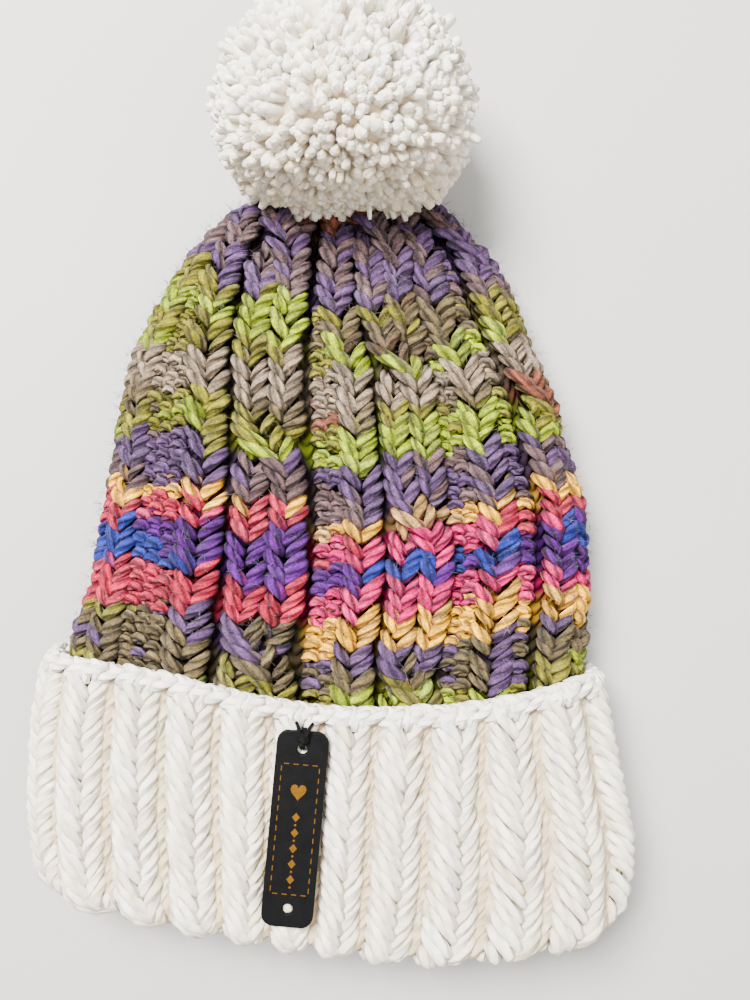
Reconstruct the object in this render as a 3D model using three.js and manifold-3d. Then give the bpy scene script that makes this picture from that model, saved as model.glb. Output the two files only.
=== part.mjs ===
// A knitted hat lying flat on its back: a striped cabled body, a turned-up ribbed cuff,
// a pompom at the gathered top, and a leather label tied to the cuff.
// Millimetres. X runs across the hat, Y from the cuff to the pompom, Z up from the surface.

import * as THREE from 'three'
import { mergeVertices } from 'three/addons/utils/BufferGeometryUtils.js'
import Module from 'manifold-3d'

// Body
const bodyLength = 174
const bodyWidth = 160
const bodyThick = 26
const bodyWall = 4.6
const bodyDome = 2.2
const knitDepth = 2
const cableHeight = 3.6
const cableTurn = 58
const seamDepth = 3.4
const edgeRise = 9

// Cuff
const cuffDepth = 74.5
const cuffWidth = 186
const cuffThick = 31
const cuffWall = 4.4
const cuffSlit = 0.7
const cuffLap = 10
const cuffDome = 1.4
const ribCount = 24
const ribHeight = 1.7
const ribLean = 10

// Pompom
const pompomSize = 77
const pompomHeight = 73
const pompomReach = 36
const pompomSeat = 26
const pompomSquash = 1.6
const pompomSink = 11.6
const pompomPlace = bodyLength + pompomSeat - pompomSink
const pompomAside = 4
const lockCount = 50
const lockRise = 3.4
const pompomEase = 1.2

// Label and its tie
const labelLength = 58
const labelWidth = 15.4
const labelThick = 1.7
const labelCorner = 3.6
const labelHole = 3.1
const labelHoleInset = 5.4
const labelTilt = 5.3
const labelAside = -10.2
const labelDrop = 32
const tieThread = 1.3
const knotSize = 2.6

// The air left between two pieces that touch
const clear = 0.3

// The body ring by ring, from the lower edge to the gather at the top.
// at: share of the way along the knitting; up: share of bodyLength
// left, right: shares of half the bodyWidth; thick, under: shares of bodyThick
const bodyRings = [
  { at: 0.0, up: 0.0, left: 0.985, right: 0.955, thick: 0.755, under: 0.225 },
  { at: 0.125, up: 0.145, left: 1.0, right: 0.97, thick: 0.785, under: 0.165 },
  { at: 0.225, up: 0.26, left: 0.94, right: 0.975, thick: 0.96, under: 0.02 },
  { at: 0.325, up: 0.375, left: 0.905, right: 0.965, thick: 1.0, under: 0.0 },
  { at: 0.375, up: 0.43, left: 0.88, right: 0.94, thick: 1.0, under: 0.0 },
  { at: 0.455, up: 0.525, left: 0.845, right: 0.875, thick: 1.0, under: 0.0 },
  { at: 0.525, up: 0.6, left: 0.825, right: 0.838, thick: 0.99, under: 0.0 },
  { at: 0.59, up: 0.68, left: 0.785, right: 0.775, thick: 0.97, under: 0.0 },
  { at: 0.665, up: 0.762, left: 0.7, right: 0.706, thick: 0.94, under: 0.0 },
  { at: 0.725, up: 0.82, left: 0.635, right: 0.65, thick: 0.9, under: 0.0 },
  { at: 0.785, up: 0.88, left: 0.555, right: 0.57, thick: 0.84, under: 0.01 },
  { at: 0.83, up: 0.92, left: 0.475, right: 0.495, thick: 0.77, under: 0.03 },
  { at: 0.875, up: 0.958, left: 0.39, right: 0.41, thick: 0.66, under: 0.08 },
  { at: 0.92, up: 0.975, left: 0.275, right: 0.295, thick: 0.5, under: 0.16 },
  { at: 0.96, up: 0.965, left: 0.15, right: 0.17, thick: 0.32, under: 0.25 },
  { at: 1.0, up: 0.93, left: 0.045, right: 0.055, thick: 0.15, under: 0.34 }
]

// The knitting round the body, from the left edge over the front to the right edge.
// wide: widths of one knit column; stitches: columns in the panel
const frontPanels = [
  { kind: 'rib', stitches: 2, wide: 2.3 },
  { kind: 'purl', stitches: 2, wide: 1.45 },
  { kind: 'rib', stitches: 2, wide: 1.6 },
  { kind: 'groove', stitches: 1, wide: 0.3 },
  { kind: 'cable', stitches: 4, wide: 2.8 },
  { kind: 'seam', stitches: 1, wide: 0.3 },
  { kind: 'purl', stitches: 1, wide: 0.95 },
  { kind: 'rib', stitches: 2, wide: 1.4 },
  { kind: 'groove', stitches: 1, wide: 0.2 },
  { kind: 'cable', stitches: 4, wide: 2.15 },
  { kind: 'purl', stitches: 1, wide: 0.95 },
  { kind: 'rib', stitches: 2, wide: 2.0 },
  { kind: 'groove', stitches: 1, wide: 0.3 },
  { kind: 'cable', stitches: 4, wide: 2.3 }
]

// The same from the right edge under the back to the left edge.
const backPanels = [
  { kind: 'groove', stitches: 1, wide: 0.3 },
  { kind: 'rib', stitches: 2, wide: 2.0 },
  { kind: 'purl', stitches: 2, wide: 1.45 },
  { kind: 'rib', stitches: 2, wide: 2.0 },
  { kind: 'groove', stitches: 1, wide: 0.3 },
  { kind: 'cable', stitches: 4, wide: 2.8 },
  { kind: 'groove', stitches: 1, wide: 0.3 },
  { kind: 'rib', stitches: 2, wide: 2.0 },
  { kind: 'purl', stitches: 2, wide: 1.45 },
  { kind: 'rib', stitches: 2, wide: 2.0 },
  { kind: 'groove', stitches: 1, wide: 0.3 },
  { kind: 'cable', stitches: 4, wide: 2.8 },
  { kind: 'groove', stitches: 1, wide: 0.3 }
]

// How high each kind of panel stands, as shares of its own depth, and where it is measured.
const panelShapes = {
  rib: { depth: knitDepth, across: [0.12, 0.5, 0.88], height: [0.8, 1, 0.8] },
  purl: { depth: knitDepth, across: [0.3, 0.7], height: [0.25, 0.25] },
  groove: { depth: knitDepth, across: [0.5], height: [-0.7] },
  seam: { depth: seamDepth, across: [0.5], height: [-1] },
  cable: { depth: cableHeight, across: [0.1, 0.3, 0.5, 0.7, 0.9], height: [0.6, 0.9, 1, 0.9, 0.6] }
}

// The cuff's edges. at: share across from the left edge to the right edge
// lip: how far the upper edge stands over its lowest point; fold: how far down the fold is
const cuffEdges = [
  { at: 0.0, lip: 0.215, fold: 0.663 },
  { at: 0.05, lip: 0.204, fold: 0.729 },
  { at: 0.2, lip: 0.148, fold: 0.824 },
  { at: 0.375, lip: 0.048, fold: 0.911 },
  { at: 0.5, lip: 0.002, fold: 0.957 },
  { at: 0.675, lip: 0.002, fold: 1.0 },
  { at: 0.8, lip: 0.04, fold: 0.978 },
  { at: 0.9, lip: 0.103, fold: 0.926 },
  { at: 0.965, lip: 0.125, fold: 0.848 },
  { at: 1.0, lip: 0.13, fold: 0.782 }
]

// The cuff's width. at: share of the way down; left, right: shares of half the cuffWidth
const cuffSides = [
  { at: 0.0, left: 0.955, right: 0.905 },
  { at: 0.3, left: 0.99, right: 0.945 },
  { at: 0.6, left: 1.0, right: 0.99 },
  { at: 0.8, left: 0.995, right: 1.0 },
  { at: 1.0, left: 0.965, right: 0.975 }
]

// How far the cuff's ribs lean at the fold. at: share of the way round from the left edge
const cuffLeans = [
  { at: 0.0, lean: 0.0 },
  { at: 0.16, lean: -0.05 },
  { at: 0.22, lean: -0.45 },
  { at: 0.29, lean: -1.0 },
  { at: 0.35, lean: -0.95 },
  { at: 0.41, lean: -0.4 },
  { at: 0.47, lean: 0.0 },
  { at: 1.0, lean: 0.0 }
]

// Reads one column of a table as a smooth curve through its rows.
function along(table, column, at) {
  let i = 0
  while (i < table.length - 2 && at > table[i + 1].at) i += 1
  const p = table[i]
  const q = table[i + 1]
  const before = table[Math.max(i - 1, 0)]
  const after = table[Math.min(i + 2, table.length - 1)]
  const span = q.at - p.at
  const f = THREE.MathUtils.clamp((at - p.at) / span, 0, 1)
  const slopeP = ((q[column] - before[column]) / (q.at - before.at)) * span
  const slopeQ = ((after[column] - p[column]) / (after.at - p.at)) * span
  const f2 = f * f
  const f3 = f2 * f
  const fromP = (2 * f3 - 3 * f2 + 1) * p[column] + (f3 - 2 * f2 + f) * slopeP
  const fromQ = (-2 * f3 + 3 * f2) * q[column] + (f3 - f2) * slopeQ
  return fromP + fromQ
}

// A flattened ring seen along the hat: straight above and below, round at both sides.
// round: 0 at the left edge, over the top to 0.5 at the right edge, and back underneath.
function flatRing(round, left, right, thick) {
  const r = thick / 2
  const straight = Math.max(left + right - thick, 0)
  const quarter = (Math.PI * r) / 2
  const onTop = round < 0.5
  const s = (onTop ? round : round - 0.5) * 2 * (straight + 2 * quarter)
  const up = onTop ? 1 : -1
  const start = onTop ? -left : right
  let x = s - quarter + r
  let z = r
  let nx = 0
  let nz = 1
  if (s < quarter) {
    const turn = s / r
    x = r - r * Math.cos(turn)
    z = r * Math.sin(turn)
    nx = -Math.cos(turn)
    nz = Math.sin(turn)
  } else if (s > quarter + straight) {
    const turn = (s - quarter - straight) / r
    x = r + straight + r * Math.sin(turn)
    z = r * Math.cos(turn)
    nx = Math.sin(turn)
    nz = Math.cos(turn)
  }
  return { x: start + up * x, z: up * z, nx: up * nx, nz: up * nz }
}

// Joins rings of points into one closed skin. A ring of one point closes an end.
function loft(rings, closed) {
  const points = rings.flat()
  const starts = []
  let count = 0
  for (const ring of rings) {
    starts.push(count)
    count += ring.length
  }
  const triangles = []
  const last = closed ? rings.length : rings.length - 1
  for (let k = 0; k < last; k += 1) {
    const lower = rings[k]
    const next = (k + 1) % rings.length
    const upper = rings[next]
    const size = Math.max(lower.length, upper.length)
    for (let i = 0; i < size; i += 1) {
      const j = (i + 1) % size
      const a = starts[k] + (lower.length > 1 ? i : 0)
      const b = starts[k] + (lower.length > 1 ? j : 0)
      const c = starts[next] + (upper.length > 1 ? j : 0)
      const d = starts[next] + (upper.length > 1 ? i : 0)
      if (a !== b) triangles.push(a, c, b)
      if (c !== d) triangles.push(a, d, c)
    }
  }
  const geometry = new THREE.BufferGeometry()
  geometry.setFromPoints(points)
  geometry.setIndex(triangles)
  return geometry
}

// Where the body stands under the cuff: its lower edge lies cuffLap below the cuff's lip.
const bodyLift = (cuffThick - bodyThick * bodyRings[0].thick) / 2 - bodyThick * bodyRings[0].under

// The pompom's middle
const ball = new THREE.Vector3(pompomAside, pompomPlace, pompomHeight / 2 - pompomSquash)

// How far the pompom reaches from its middle: round, but squarer where it sits on the hat.
function ballReach(aim) {
  const length = aim.y > 0 ? pompomReach : pompomSeat
  const power = 2 + 1.4 * Math.max(-aim.y, 0)
  const x = Math.abs((2 * aim.x) / pompomSize) ** power
  const y = Math.abs(aim.y / length) ** power
  const z = Math.abs((2 * aim.z) / pompomHeight) ** power
  return (x + y + z) ** (-1 / power)
}

// Knitting gives way to the pompom that is pressed into it.
function pressed(point, apart) {
  const away = point.clone().sub(ball)
  const reach = ballReach(away.clone().normalize()) + apart
  if (away.length() < reach) point.copy(ball).add(away.setLength(reach))
  return point
}

// A point of the body's wall, `deep` under its outer face.
function bodyPoint(round, at, deep, raised) {
  const left = (along(bodyRings, 'left', at) * bodyWidth) / 2 - deep
  const right = (along(bodyRings, 'right', at) * bodyWidth) / 2 - deep
  const thick = along(bodyRings, 'thick', at) * bodyThick - 2 * deep
  const under = along(bodyRings, 'under', at) * bodyThick
  const fade = Math.max(1 - at / 0.2, 0)
  const edge = flatRing(round, Math.max(left, 0.5), Math.max(right, 0.5), Math.max(thick, 1))
  const dome = round < 0.5 ? bodyDome * Math.sin(2 * Math.PI * round) * Math.min(thick / bodyThick, 1) : 0
  const x = edge.x + edge.nx * raised
  const z = under + fade * bodyLift + deep + thick / 2 + edge.z + edge.nz * raised + dome
  const share = x / (bodyWidth / 2)
  const y = along(bodyRings, 'up', at) * bodyLength + edgeRise * share * share * (1 - at) ** 2 * (1 + at)
  return new THREE.Vector3(x, y, Math.max(z, deep))
}

// Where the knitting is measured round the body, with the height there.
function panelSamples(panels, start) {
  const whole = panels.reduce((sum, panel) => sum + panel.wide, 0)
  const samples = []
  let done = 0
  for (const panel of panels) {
    const shape = panelShapes[panel.kind]
    shape.across.forEach((across, i) => {
      const round = start + (0.5 * (done + across * panel.wide)) / whole
      samples.push({ round, across, kind: panel.kind, height: shape.depth * shape.height[i] })
    })
    done += panel.wide
  }
  return samples
}

const bodySamples = [...panelSamples(frontPanels, 0), ...panelSamples(backPanels, 0.5)]

// The height of the knitting over the plain wall, with the cables' rope twist.
function knitHeight(sample, at) {
  const turns = (along(bodyRings, 'up', at) * bodyLength) / cableTurn
  const twist = Math.cos(2 * Math.PI * (turns + sample.across))
  const rope = sample.kind === 'cable' ? 0.6 + 0.4 * twist : 1
  const pleat = 1 + 0.9 * THREE.MathUtils.smoothstep(at, 0.78, 0.95)
  const end = 1 - THREE.MathUtils.smoothstep(at, 0.93, 1)
  const start = 0.12 + 0.88 * THREE.MathUtils.smoothstep(at, 0.08, 0.2)
  return sample.height * rope * pleat * end * start
}

const outerSteps = 24
const innerSteps = 8
const innerEnd = 0.9

function makeBody() {
  const middle = bodyPoint(0.25, 1, 0, 0).lerp(bodyPoint(0.75, 1, 0, 0), 0.5)
  const rings = [[pressed(middle, pompomEase)]]
  for (let k = outerSteps; k >= 0; k -= 1) {
    const at = k / outerSteps
    rings.push(bodySamples.map(s => {
      return pressed(bodyPoint(s.round, at, 0, knitHeight(s, at)), pompomEase)
    }))
  }
  for (let k = 0; k <= innerSteps; k += 1) {
    const at = (innerEnd * k) / innerSteps
    rings.push(bodySamples.map(s => {
      const follow = Math.min(knitHeight(s, at), 0)
      return pressed(bodyPoint(s.round, at, bodyWall, follow), pompomEase + bodyWall)
    }))
  }
  const tip = bodyPoint(0.25, innerEnd, bodyWall, 0).lerp(bodyPoint(0.75, innerEnd, bodyWall, 0), 0.5)
  rings.push([pressed(tip, pompomEase + bodyWall)])
  return loft(rings, false)
}

// The cuff's lip lies cuffLap above the body's lower edge.
const lipLine = cuffLap

// A point of the cuff. down: share of the way from lip to fold; deep: under the outer face
function cuffPoint(round, down, deep, raised) {
  const left = (along(cuffSides, 'left', down) * cuffWidth) / 2 - deep
  const right = (along(cuffSides, 'right', down) * cuffWidth) / 2 - deep
  const thick = cuffThick - 2 * deep
  const edge = flatRing(round, left, right, thick)
  const dome = round < 0.5 ? cuffDome * Math.sin(2 * Math.PI * round) : 0
  const x = edge.x + edge.nx * raised
  const share = THREE.MathUtils.clamp(0.5 + edge.x / cuffWidth, 0, 1)
  const lip = lipLine + along(cuffEdges, 'lip', share) * cuffDepth
  const fold = lipLine - along(cuffEdges, 'fold', share) * cuffDepth
  const y = THREE.MathUtils.lerp(lip, fold, down)
  const z = thick / 2 + deep + edge.z + edge.nz * raised + dome
  return new THREE.Vector3(x, y, Math.max(z, 0))
}

// Ribs: three raised points, then one down in the valley.
const ribProfile = [-0.35, 0.65, 1, 0.65]

function makeCuff() {
  const layers = 2 * cuffWall + cuffSlit
  const bend = layers / 2 / cuffDepth
  const join = cuffLap / cuffDepth
  const slitEnd = 1 - cuffWall / cuffDepth
  const loop = [
    { down: 0.0, deep: 0.3 * cuffWall, rib: 0.5 },
    { down: 0.022, deep: -0.12 * cuffWall, rib: 0.6 },
    { down: 0.06, deep: 0, rib: 0.85 },
    { down: 0.3, deep: 0, rib: 1 },
    { down: 0.55, deep: 0, rib: 1 },
    { down: 0.8, deep: 0, rib: 1 },
    { down: 1 - bend, deep: 0, rib: 1 },
    { down: 1 - 0.3 * bend, deep: 0.3 * layers / 2, rib: 0.9 },
    { down: 1, deep: layers / 2, rib: 0.3 },
    { down: 1 - 0.3 * bend, deep: 1.7 * layers / 2, rib: 0 },
    { down: 1 - bend, deep: layers, rib: 0 },
    { down: 0.6, deep: layers, rib: 0 },
    { down: 0, deep: layers, rib: 0, join: true },
    { down: 0, deep: cuffWall + cuffSlit, rib: 0, join: true },
    { down: 0.6, deep: cuffWall + cuffSlit, rib: 0 },
    { down: slitEnd, deep: cuffWall + cuffSlit, rib: 0 },
    { down: slitEnd, deep: cuffWall, rib: 0 },
    { down: 0.6, deep: cuffWall, rib: 0 },
    { down: join, deep: cuffWall, rib: 0 },
    { down: 0.022, deep: 0.95 * cuffWall, rib: 0 }
  ]
  const around = ribCount * ribProfile.length
  const rings = loop.map(step => {
    const ring = []
    for (let i = 0; i < around; i += 1) {
      const start = i / around
      const shift = (along(cuffLeans, 'lean', start) * ribLean) / (2 * (cuffWidth + cuffThick))
      const round = (start + shift * step.down + 1) % 1
      const rib = ribHeight * step.rib * ribProfile[i % ribProfile.length]
      const point = cuffPoint(round, step.down, step.deep, rib)
      if (step.join) {
        const share = point.x / (bodyWidth / 2)
        point.y = edgeRise * share * share - clear
      }
      ring.push(point)
    }
    return ring
  })
  return loft(rings, true)
}

// Solids for joining and cutting
const wasm = await Module()
wasm.setup()

function toSolid(geometry) {
  const bare = geometry.clone()
  bare.deleteAttribute('normal')
  bare.deleteAttribute('uv')
  const merged = mergeVertices(bare, 1e-4)
  return new wasm.Manifold(new wasm.Mesh({
    numProp: 3,
    vertProperties: new Float32Array(merged.attributes.position.array),
    triVerts: new Uint32Array(merged.index.array)
  }))
}

function toGeometry(solid) {
  const mesh = solid.getMesh()
  const geometry = new THREE.BufferGeometry()
  geometry.setAttribute('position', new THREE.BufferAttribute(new Float32Array(mesh.vertProperties), 3))
  geometry.setIndex(new THREE.BufferAttribute(new Uint32Array(mesh.triVerts), 1))
  return geometry
}

// The pompom: locks of cut yarn standing out of a round core, pressed flat where it lies.
function makePompom() {
  const core = new THREE.IcosahedronGeometry(1, 2)
  const points = core.attributes.position
  const point = new THREE.Vector3()
  for (let i = 0; i < points.count; i += 1) {
    point.fromBufferAttribute(points, i).normalize()
    point.multiplyScalar(ballReach(point) - lockRise)
    points.setXYZ(i, point.x, point.y, point.z)
  }
  let solid = toSolid(core)
  const golden = Math.PI * (3 - Math.sqrt(5))
  const spread = pompomSize / Math.sqrt(lockCount)
  for (let i = 0; i < lockCount; i += 1) {
    const up = 1 - (2 * (i + 0.5)) / lockCount
    const flat = Math.sqrt(1 - up * up)
    const aim = new THREE.Vector3(flat * Math.cos(golden * i), flat * Math.sin(golden * i), up)
    const tip = ballReach(aim) - lockRise * 0.3 * (0.5 + 0.5 * Math.sin(i * 2.4))
    const profile = [
      new THREE.Vector2(0, tip - lockRise * 2.5),
      new THREE.Vector2(spread * 0.66, tip - lockRise * 1.4),
      new THREE.Vector2(spread * 0.38, tip - lockRise * 0.25),
      new THREE.Vector2(0, tip)
    ]
    const lock = new THREE.LatheGeometry(profile, 5, i)
    lock.applyQuaternion(new THREE.Quaternion().setFromUnitVectors(new THREE.Vector3(0, 1, 0), aim))
    solid = solid.add(toSolid(lock))
  }
  const room = new THREE.BoxGeometry(2 * pompomSize, 2 * pompomSize, 2 * pompomSize)
  room.translate(0, 0, pompomSize - ball.z)
  return toGeometry(solid.intersect(toSolid(room)))
}

// The label: a leather strip with round corners and two holes, on the crests of the ribs.
function makeLabel() {
  const half = labelWidth / 2
  const end = labelLength / 2
  const r = Math.min(labelCorner, half)
  const strip = new THREE.Shape()
  strip.moveTo(-half + r, -end)
  strip.lineTo(half - r, -end)
  strip.absarc(half - r, -end + r, r, -Math.PI / 2, 0, false)
  strip.absarc(half - r, end - r, r, 0, Math.PI / 2, false)
  strip.absarc(-half + r, end - r, r, Math.PI / 2, Math.PI, false)
  strip.absarc(-half + r, -end + r, r, Math.PI, Math.PI * 1.5, false)
  for (const side of [-1, 1]) {
    const hole = new THREE.Path()
    hole.absarc(0, side * (end - labelHoleInset), labelHole / 2, 0, Math.PI * 2, true)
    strip.holes.push(hole)
  }
  return new THREE.ExtrudeGeometry(strip, { depth: labelThick, bevelEnabled: false, curveSegments: 5 })
}

// The tie: a thread up through the hole, over the label's end and back down to the cuff.
function makeTie() {
  const end = labelLength / 2
  const r = tieThread / 2
  const over = labelThick + clear + r
  const path = new THREE.CatmullRomCurve3([
    new THREE.Vector3(0, end - labelHoleInset, r),
    new THREE.Vector3(0, end - labelHoleInset + 0.2 * labelHole, labelThick),
    new THREE.Vector3(0, end - labelHoleInset + 0.7 * labelHole, over),
    new THREE.Vector3(0, end - labelHoleInset * 0.3, over),
    new THREE.Vector3(0, end + r, over),
    new THREE.Vector3(0, end + clear + 1.6 * r, labelThick * 0.7),
    new THREE.Vector3(0, end + clear + 1.8 * r, r)
  ])
  const section = new THREE.Shape()
  section.absarc(0, 0, r, 0, Math.PI * 2, false)
  const thread = new THREE.ExtrudeGeometry(section, { steps: 15, curveSegments: 3, extrudePath: path })
  const knot = new THREE.SphereGeometry(knotSize / 2, 8, 5)
  knot.scale(1, 1.1, 0.8)
  knot.translate(0, end - labelHoleInset * 0.25, labelThick + clear + 0.4 * knotSize)
  return toGeometry(toSolid(thread).add(toSolid(knot)))
}

// Named meshes with their own materials
function piece(name, geometry, color, roughness) {
  const mesh = new THREE.Mesh(geometry, new THREE.MeshStandardMaterial({ color, roughness, metalness: 0 }))
  mesh.name = name
  return mesh
}

const body = piece('hat_body', makeBody(), 0x8a7fa6, 0.95)
const cuff = piece('cuff', makeCuff(), 0xebe7e1, 0.95)
const pompom = piece('pompom', makePompom(), 0xf3f0ea, 0.95)
const label = piece('leather_label', makeLabel(), 0x1b1b1d, 0.55)
const tie = piece('label_tie', makeTie(), 0x141414, 0.8)

pompom.position.copy(ball)

// The label lies on the highest crest under it.
const tilt = THREE.MathUtils.degToRad(-labelTilt)
let seat = 0
for (let i = 0; i <= 40; i += 1) {
  const crest = cuffPoint(0.25 + (0.12 * (i - 20)) / 20, 0.5, 0, ribHeight)
  if (Math.abs(crest.x - labelAside) < labelWidth * 0.7 + Math.abs(Math.sin(tilt)) * labelLength / 2) {
    seat = Math.max(seat, crest.z)
  }
}
for (const mesh of [label, tie]) {
  mesh.position.set(labelAside, lipLine - labelDrop, seat + clear)
  mesh.rotation.z = tilt
}

const group = new THREE.Group()
group.name = 'bobble_hat'
group.add(body, cuff, pompom, label, tie)

// The frame's origin is under the middle of the whole hat, on the surface.
const bounds = new THREE.Box3().setFromObject(group, true)
const middle = bounds.getCenter(new THREE.Vector3())
group.position.set(-middle.x, -middle.y, -bounds.min.z)

export default group
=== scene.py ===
# A knitted bobble hat lying flat on its back: a striped cabled body, a white ribbed cuff
# turned up, a white pompom, and a black leather label tied to the cuff.
# Sizes are in millimetres, measured from the body's lower edge and the hat's centre line,
# and are turned to metres when a mesh is made.

import math

import bmesh
import bpy
import numpy as np
from mathutils import Matrix, Vector


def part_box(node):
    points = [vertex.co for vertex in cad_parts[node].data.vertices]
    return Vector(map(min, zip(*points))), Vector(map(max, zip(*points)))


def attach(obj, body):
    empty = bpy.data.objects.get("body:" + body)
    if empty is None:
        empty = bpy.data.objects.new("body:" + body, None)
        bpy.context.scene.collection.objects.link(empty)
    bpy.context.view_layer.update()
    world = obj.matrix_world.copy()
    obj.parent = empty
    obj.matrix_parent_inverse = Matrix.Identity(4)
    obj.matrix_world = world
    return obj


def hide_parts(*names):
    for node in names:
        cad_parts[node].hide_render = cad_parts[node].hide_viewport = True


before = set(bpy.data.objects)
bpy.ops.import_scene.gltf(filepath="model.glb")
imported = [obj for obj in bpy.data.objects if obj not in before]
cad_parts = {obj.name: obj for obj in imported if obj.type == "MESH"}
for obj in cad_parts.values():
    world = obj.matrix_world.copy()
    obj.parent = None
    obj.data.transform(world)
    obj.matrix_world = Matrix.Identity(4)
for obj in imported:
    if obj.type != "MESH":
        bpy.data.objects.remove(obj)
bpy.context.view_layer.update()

chance = np.random.default_rng(11)

# Where the body's lower edge and the hat's centre line lie in the frame
lower_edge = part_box("hat_body")[0][1] * 1000
centre_line = -0.035

# Body
body_length = 174
body_width = 160
body_thick = 26
body_wall = 4.6
body_dome = 2.2
edge_rise = 9

# Cuff
cuff_depth = 74.5
cuff_width = 186
cuff_thick = 31
cuff_wall = 4.4
cuff_slit = 0.7
cuff_lap = 10
cuff_dome = 1.4
rib_count = 24
rib_height = 1.7
rib_lean = 10

# Pompom. Its seat is pressed into the gather of the body, and its underside is flattened
# a little where it lies on the surface.
pompom_size = 77
pompom_height = 73
pompom_reach = 36
pompom_seat = 26
pompom_sink = 11.6
pompom_squash = 1.6
pompom_aside = 4
pompom_middle = np.array([
    pompom_aside, body_length + pompom_seat - pompom_sink, pompom_height / 2 - pompom_squash])
seat_squareness = 1.4
tuft_count = 3300
tuft_radius = 1.55
tuft_bend = 1.7
tuft_root = 0.62
loose_end_count = 14

# Yarn and stitches. knit_length: the way along the body's knitting, up to the gather
yarn_radius = 1.72
purl_radius = 1.45
cuff_radius = 1.75
edge_radius = 1.55
row_pitch = 4.2
knit_length = 202
row_share = row_pitch / knit_length
cuff_row = row_pitch / cuff_depth
stitch_strand = 8.0
ply_count = 4
ply_pitch = 15.0

# How unevenly the stitches lie: shares of a column's width and of a row, and a height
uneven_across = 0.045
uneven_up = 0.12
uneven_height = 0.34

# Cables: how long a crossing is, and how high the front column stands out in it
crossing_length = 29
cable_bulge = 3.5
cable_dome = 2.0
cable_sink = 0.7

# Loose fibres
fuzz_count = 6000
fuzz_length = 1.5
fuzz_radius = 0.045

# Label
label_length = 58
label_width = 15.4
label_thick = 1.7
label_hole_inset = 5.4
label_tilt = math.radians(-5.3)
label_aside = -10.2
label_drop = 32
label_round = 0.35
foil_thick = 0.12
foil_line = 0.26
dash_length = 1.5
dash_pitch = 2.75
border_inset = 2.1
border_reach = 19.2
lozenge_count = 5
lozenge_pitch = 4.6
dot_radius = 0.34
thread_radius = 0.55

# Sizes of the patterns in the materials. Single fibres are too fine to show, so
# fibre_size is that of a small tuft of them.
fibre_size = 0.65
clump_size = 3.0
grain_size = 0.6
hide_patch = 4.0
foil_rub = 0.8
floor_mottle = 160

# Camera: straight down over the hat
camera_height = 291
camera_over = (13.365, -4.02)
image_height = 1000
focal_pixels = 866
sensor_height = 36

# Light panels: place and width in metres, power in watts
light_panels = (
    {"name": "key_panel", "place": (-0.3, 0.42, 0.8), "size": 0.4, "power": 60},
    {"name": "fill_panel", "place": (0.7, -0.2, 0.8), "size": 0.9, "power": 12},
    {"name": "front_panel", "place": (0.0, -0.8, 0.7), "size": 0.9, "power": 6},
)
daylight = (1, 0.98, 0.95, 1)
daylight_strength = 0.6

# The body ring by ring, from the lower edge to the gather at the top.
# at: share of the way along the knitting; up: share of body_length
# left, right: shares of half the body_width; thick, under: shares of body_thick
body_rings = [
    {"at": 0.0, "up": 0.0, "left": 0.985, "right": 0.955, "thick": 0.755, "under": 0.225},
    {"at": 0.125, "up": 0.145, "left": 1.0, "right": 0.97, "thick": 0.785, "under": 0.165},
    {"at": 0.225, "up": 0.26, "left": 0.94, "right": 0.975, "thick": 0.96, "under": 0.02},
    {"at": 0.325, "up": 0.375, "left": 0.905, "right": 0.965, "thick": 1.0, "under": 0.0},
    {"at": 0.375, "up": 0.43, "left": 0.88, "right": 0.94, "thick": 1.0, "under": 0.0},
    {"at": 0.455, "up": 0.525, "left": 0.845, "right": 0.875, "thick": 1.0, "under": 0.0},
    {"at": 0.525, "up": 0.6, "left": 0.825, "right": 0.838, "thick": 0.99, "under": 0.0},
    {"at": 0.59, "up": 0.68, "left": 0.785, "right": 0.775, "thick": 0.97, "under": 0.0},
    {"at": 0.665, "up": 0.762, "left": 0.7, "right": 0.706, "thick": 0.94, "under": 0.0},
    {"at": 0.725, "up": 0.82, "left": 0.635, "right": 0.65, "thick": 0.9, "under": 0.0},
    {"at": 0.785, "up": 0.88, "left": 0.555, "right": 0.57, "thick": 0.84, "under": 0.01},
    {"at": 0.83, "up": 0.92, "left": 0.475, "right": 0.495, "thick": 0.77, "under": 0.03},
    {"at": 0.875, "up": 0.958, "left": 0.39, "right": 0.41, "thick": 0.66, "under": 0.08},
    {"at": 0.92, "up": 0.975, "left": 0.275, "right": 0.295, "thick": 0.5, "under": 0.16},
    {"at": 0.96, "up": 0.965, "left": 0.15, "right": 0.17, "thick": 0.32, "under": 0.25},
    {"at": 1.0, "up": 0.93, "left": 0.045, "right": 0.055, "thick": 0.15, "under": 0.34},
]

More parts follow.
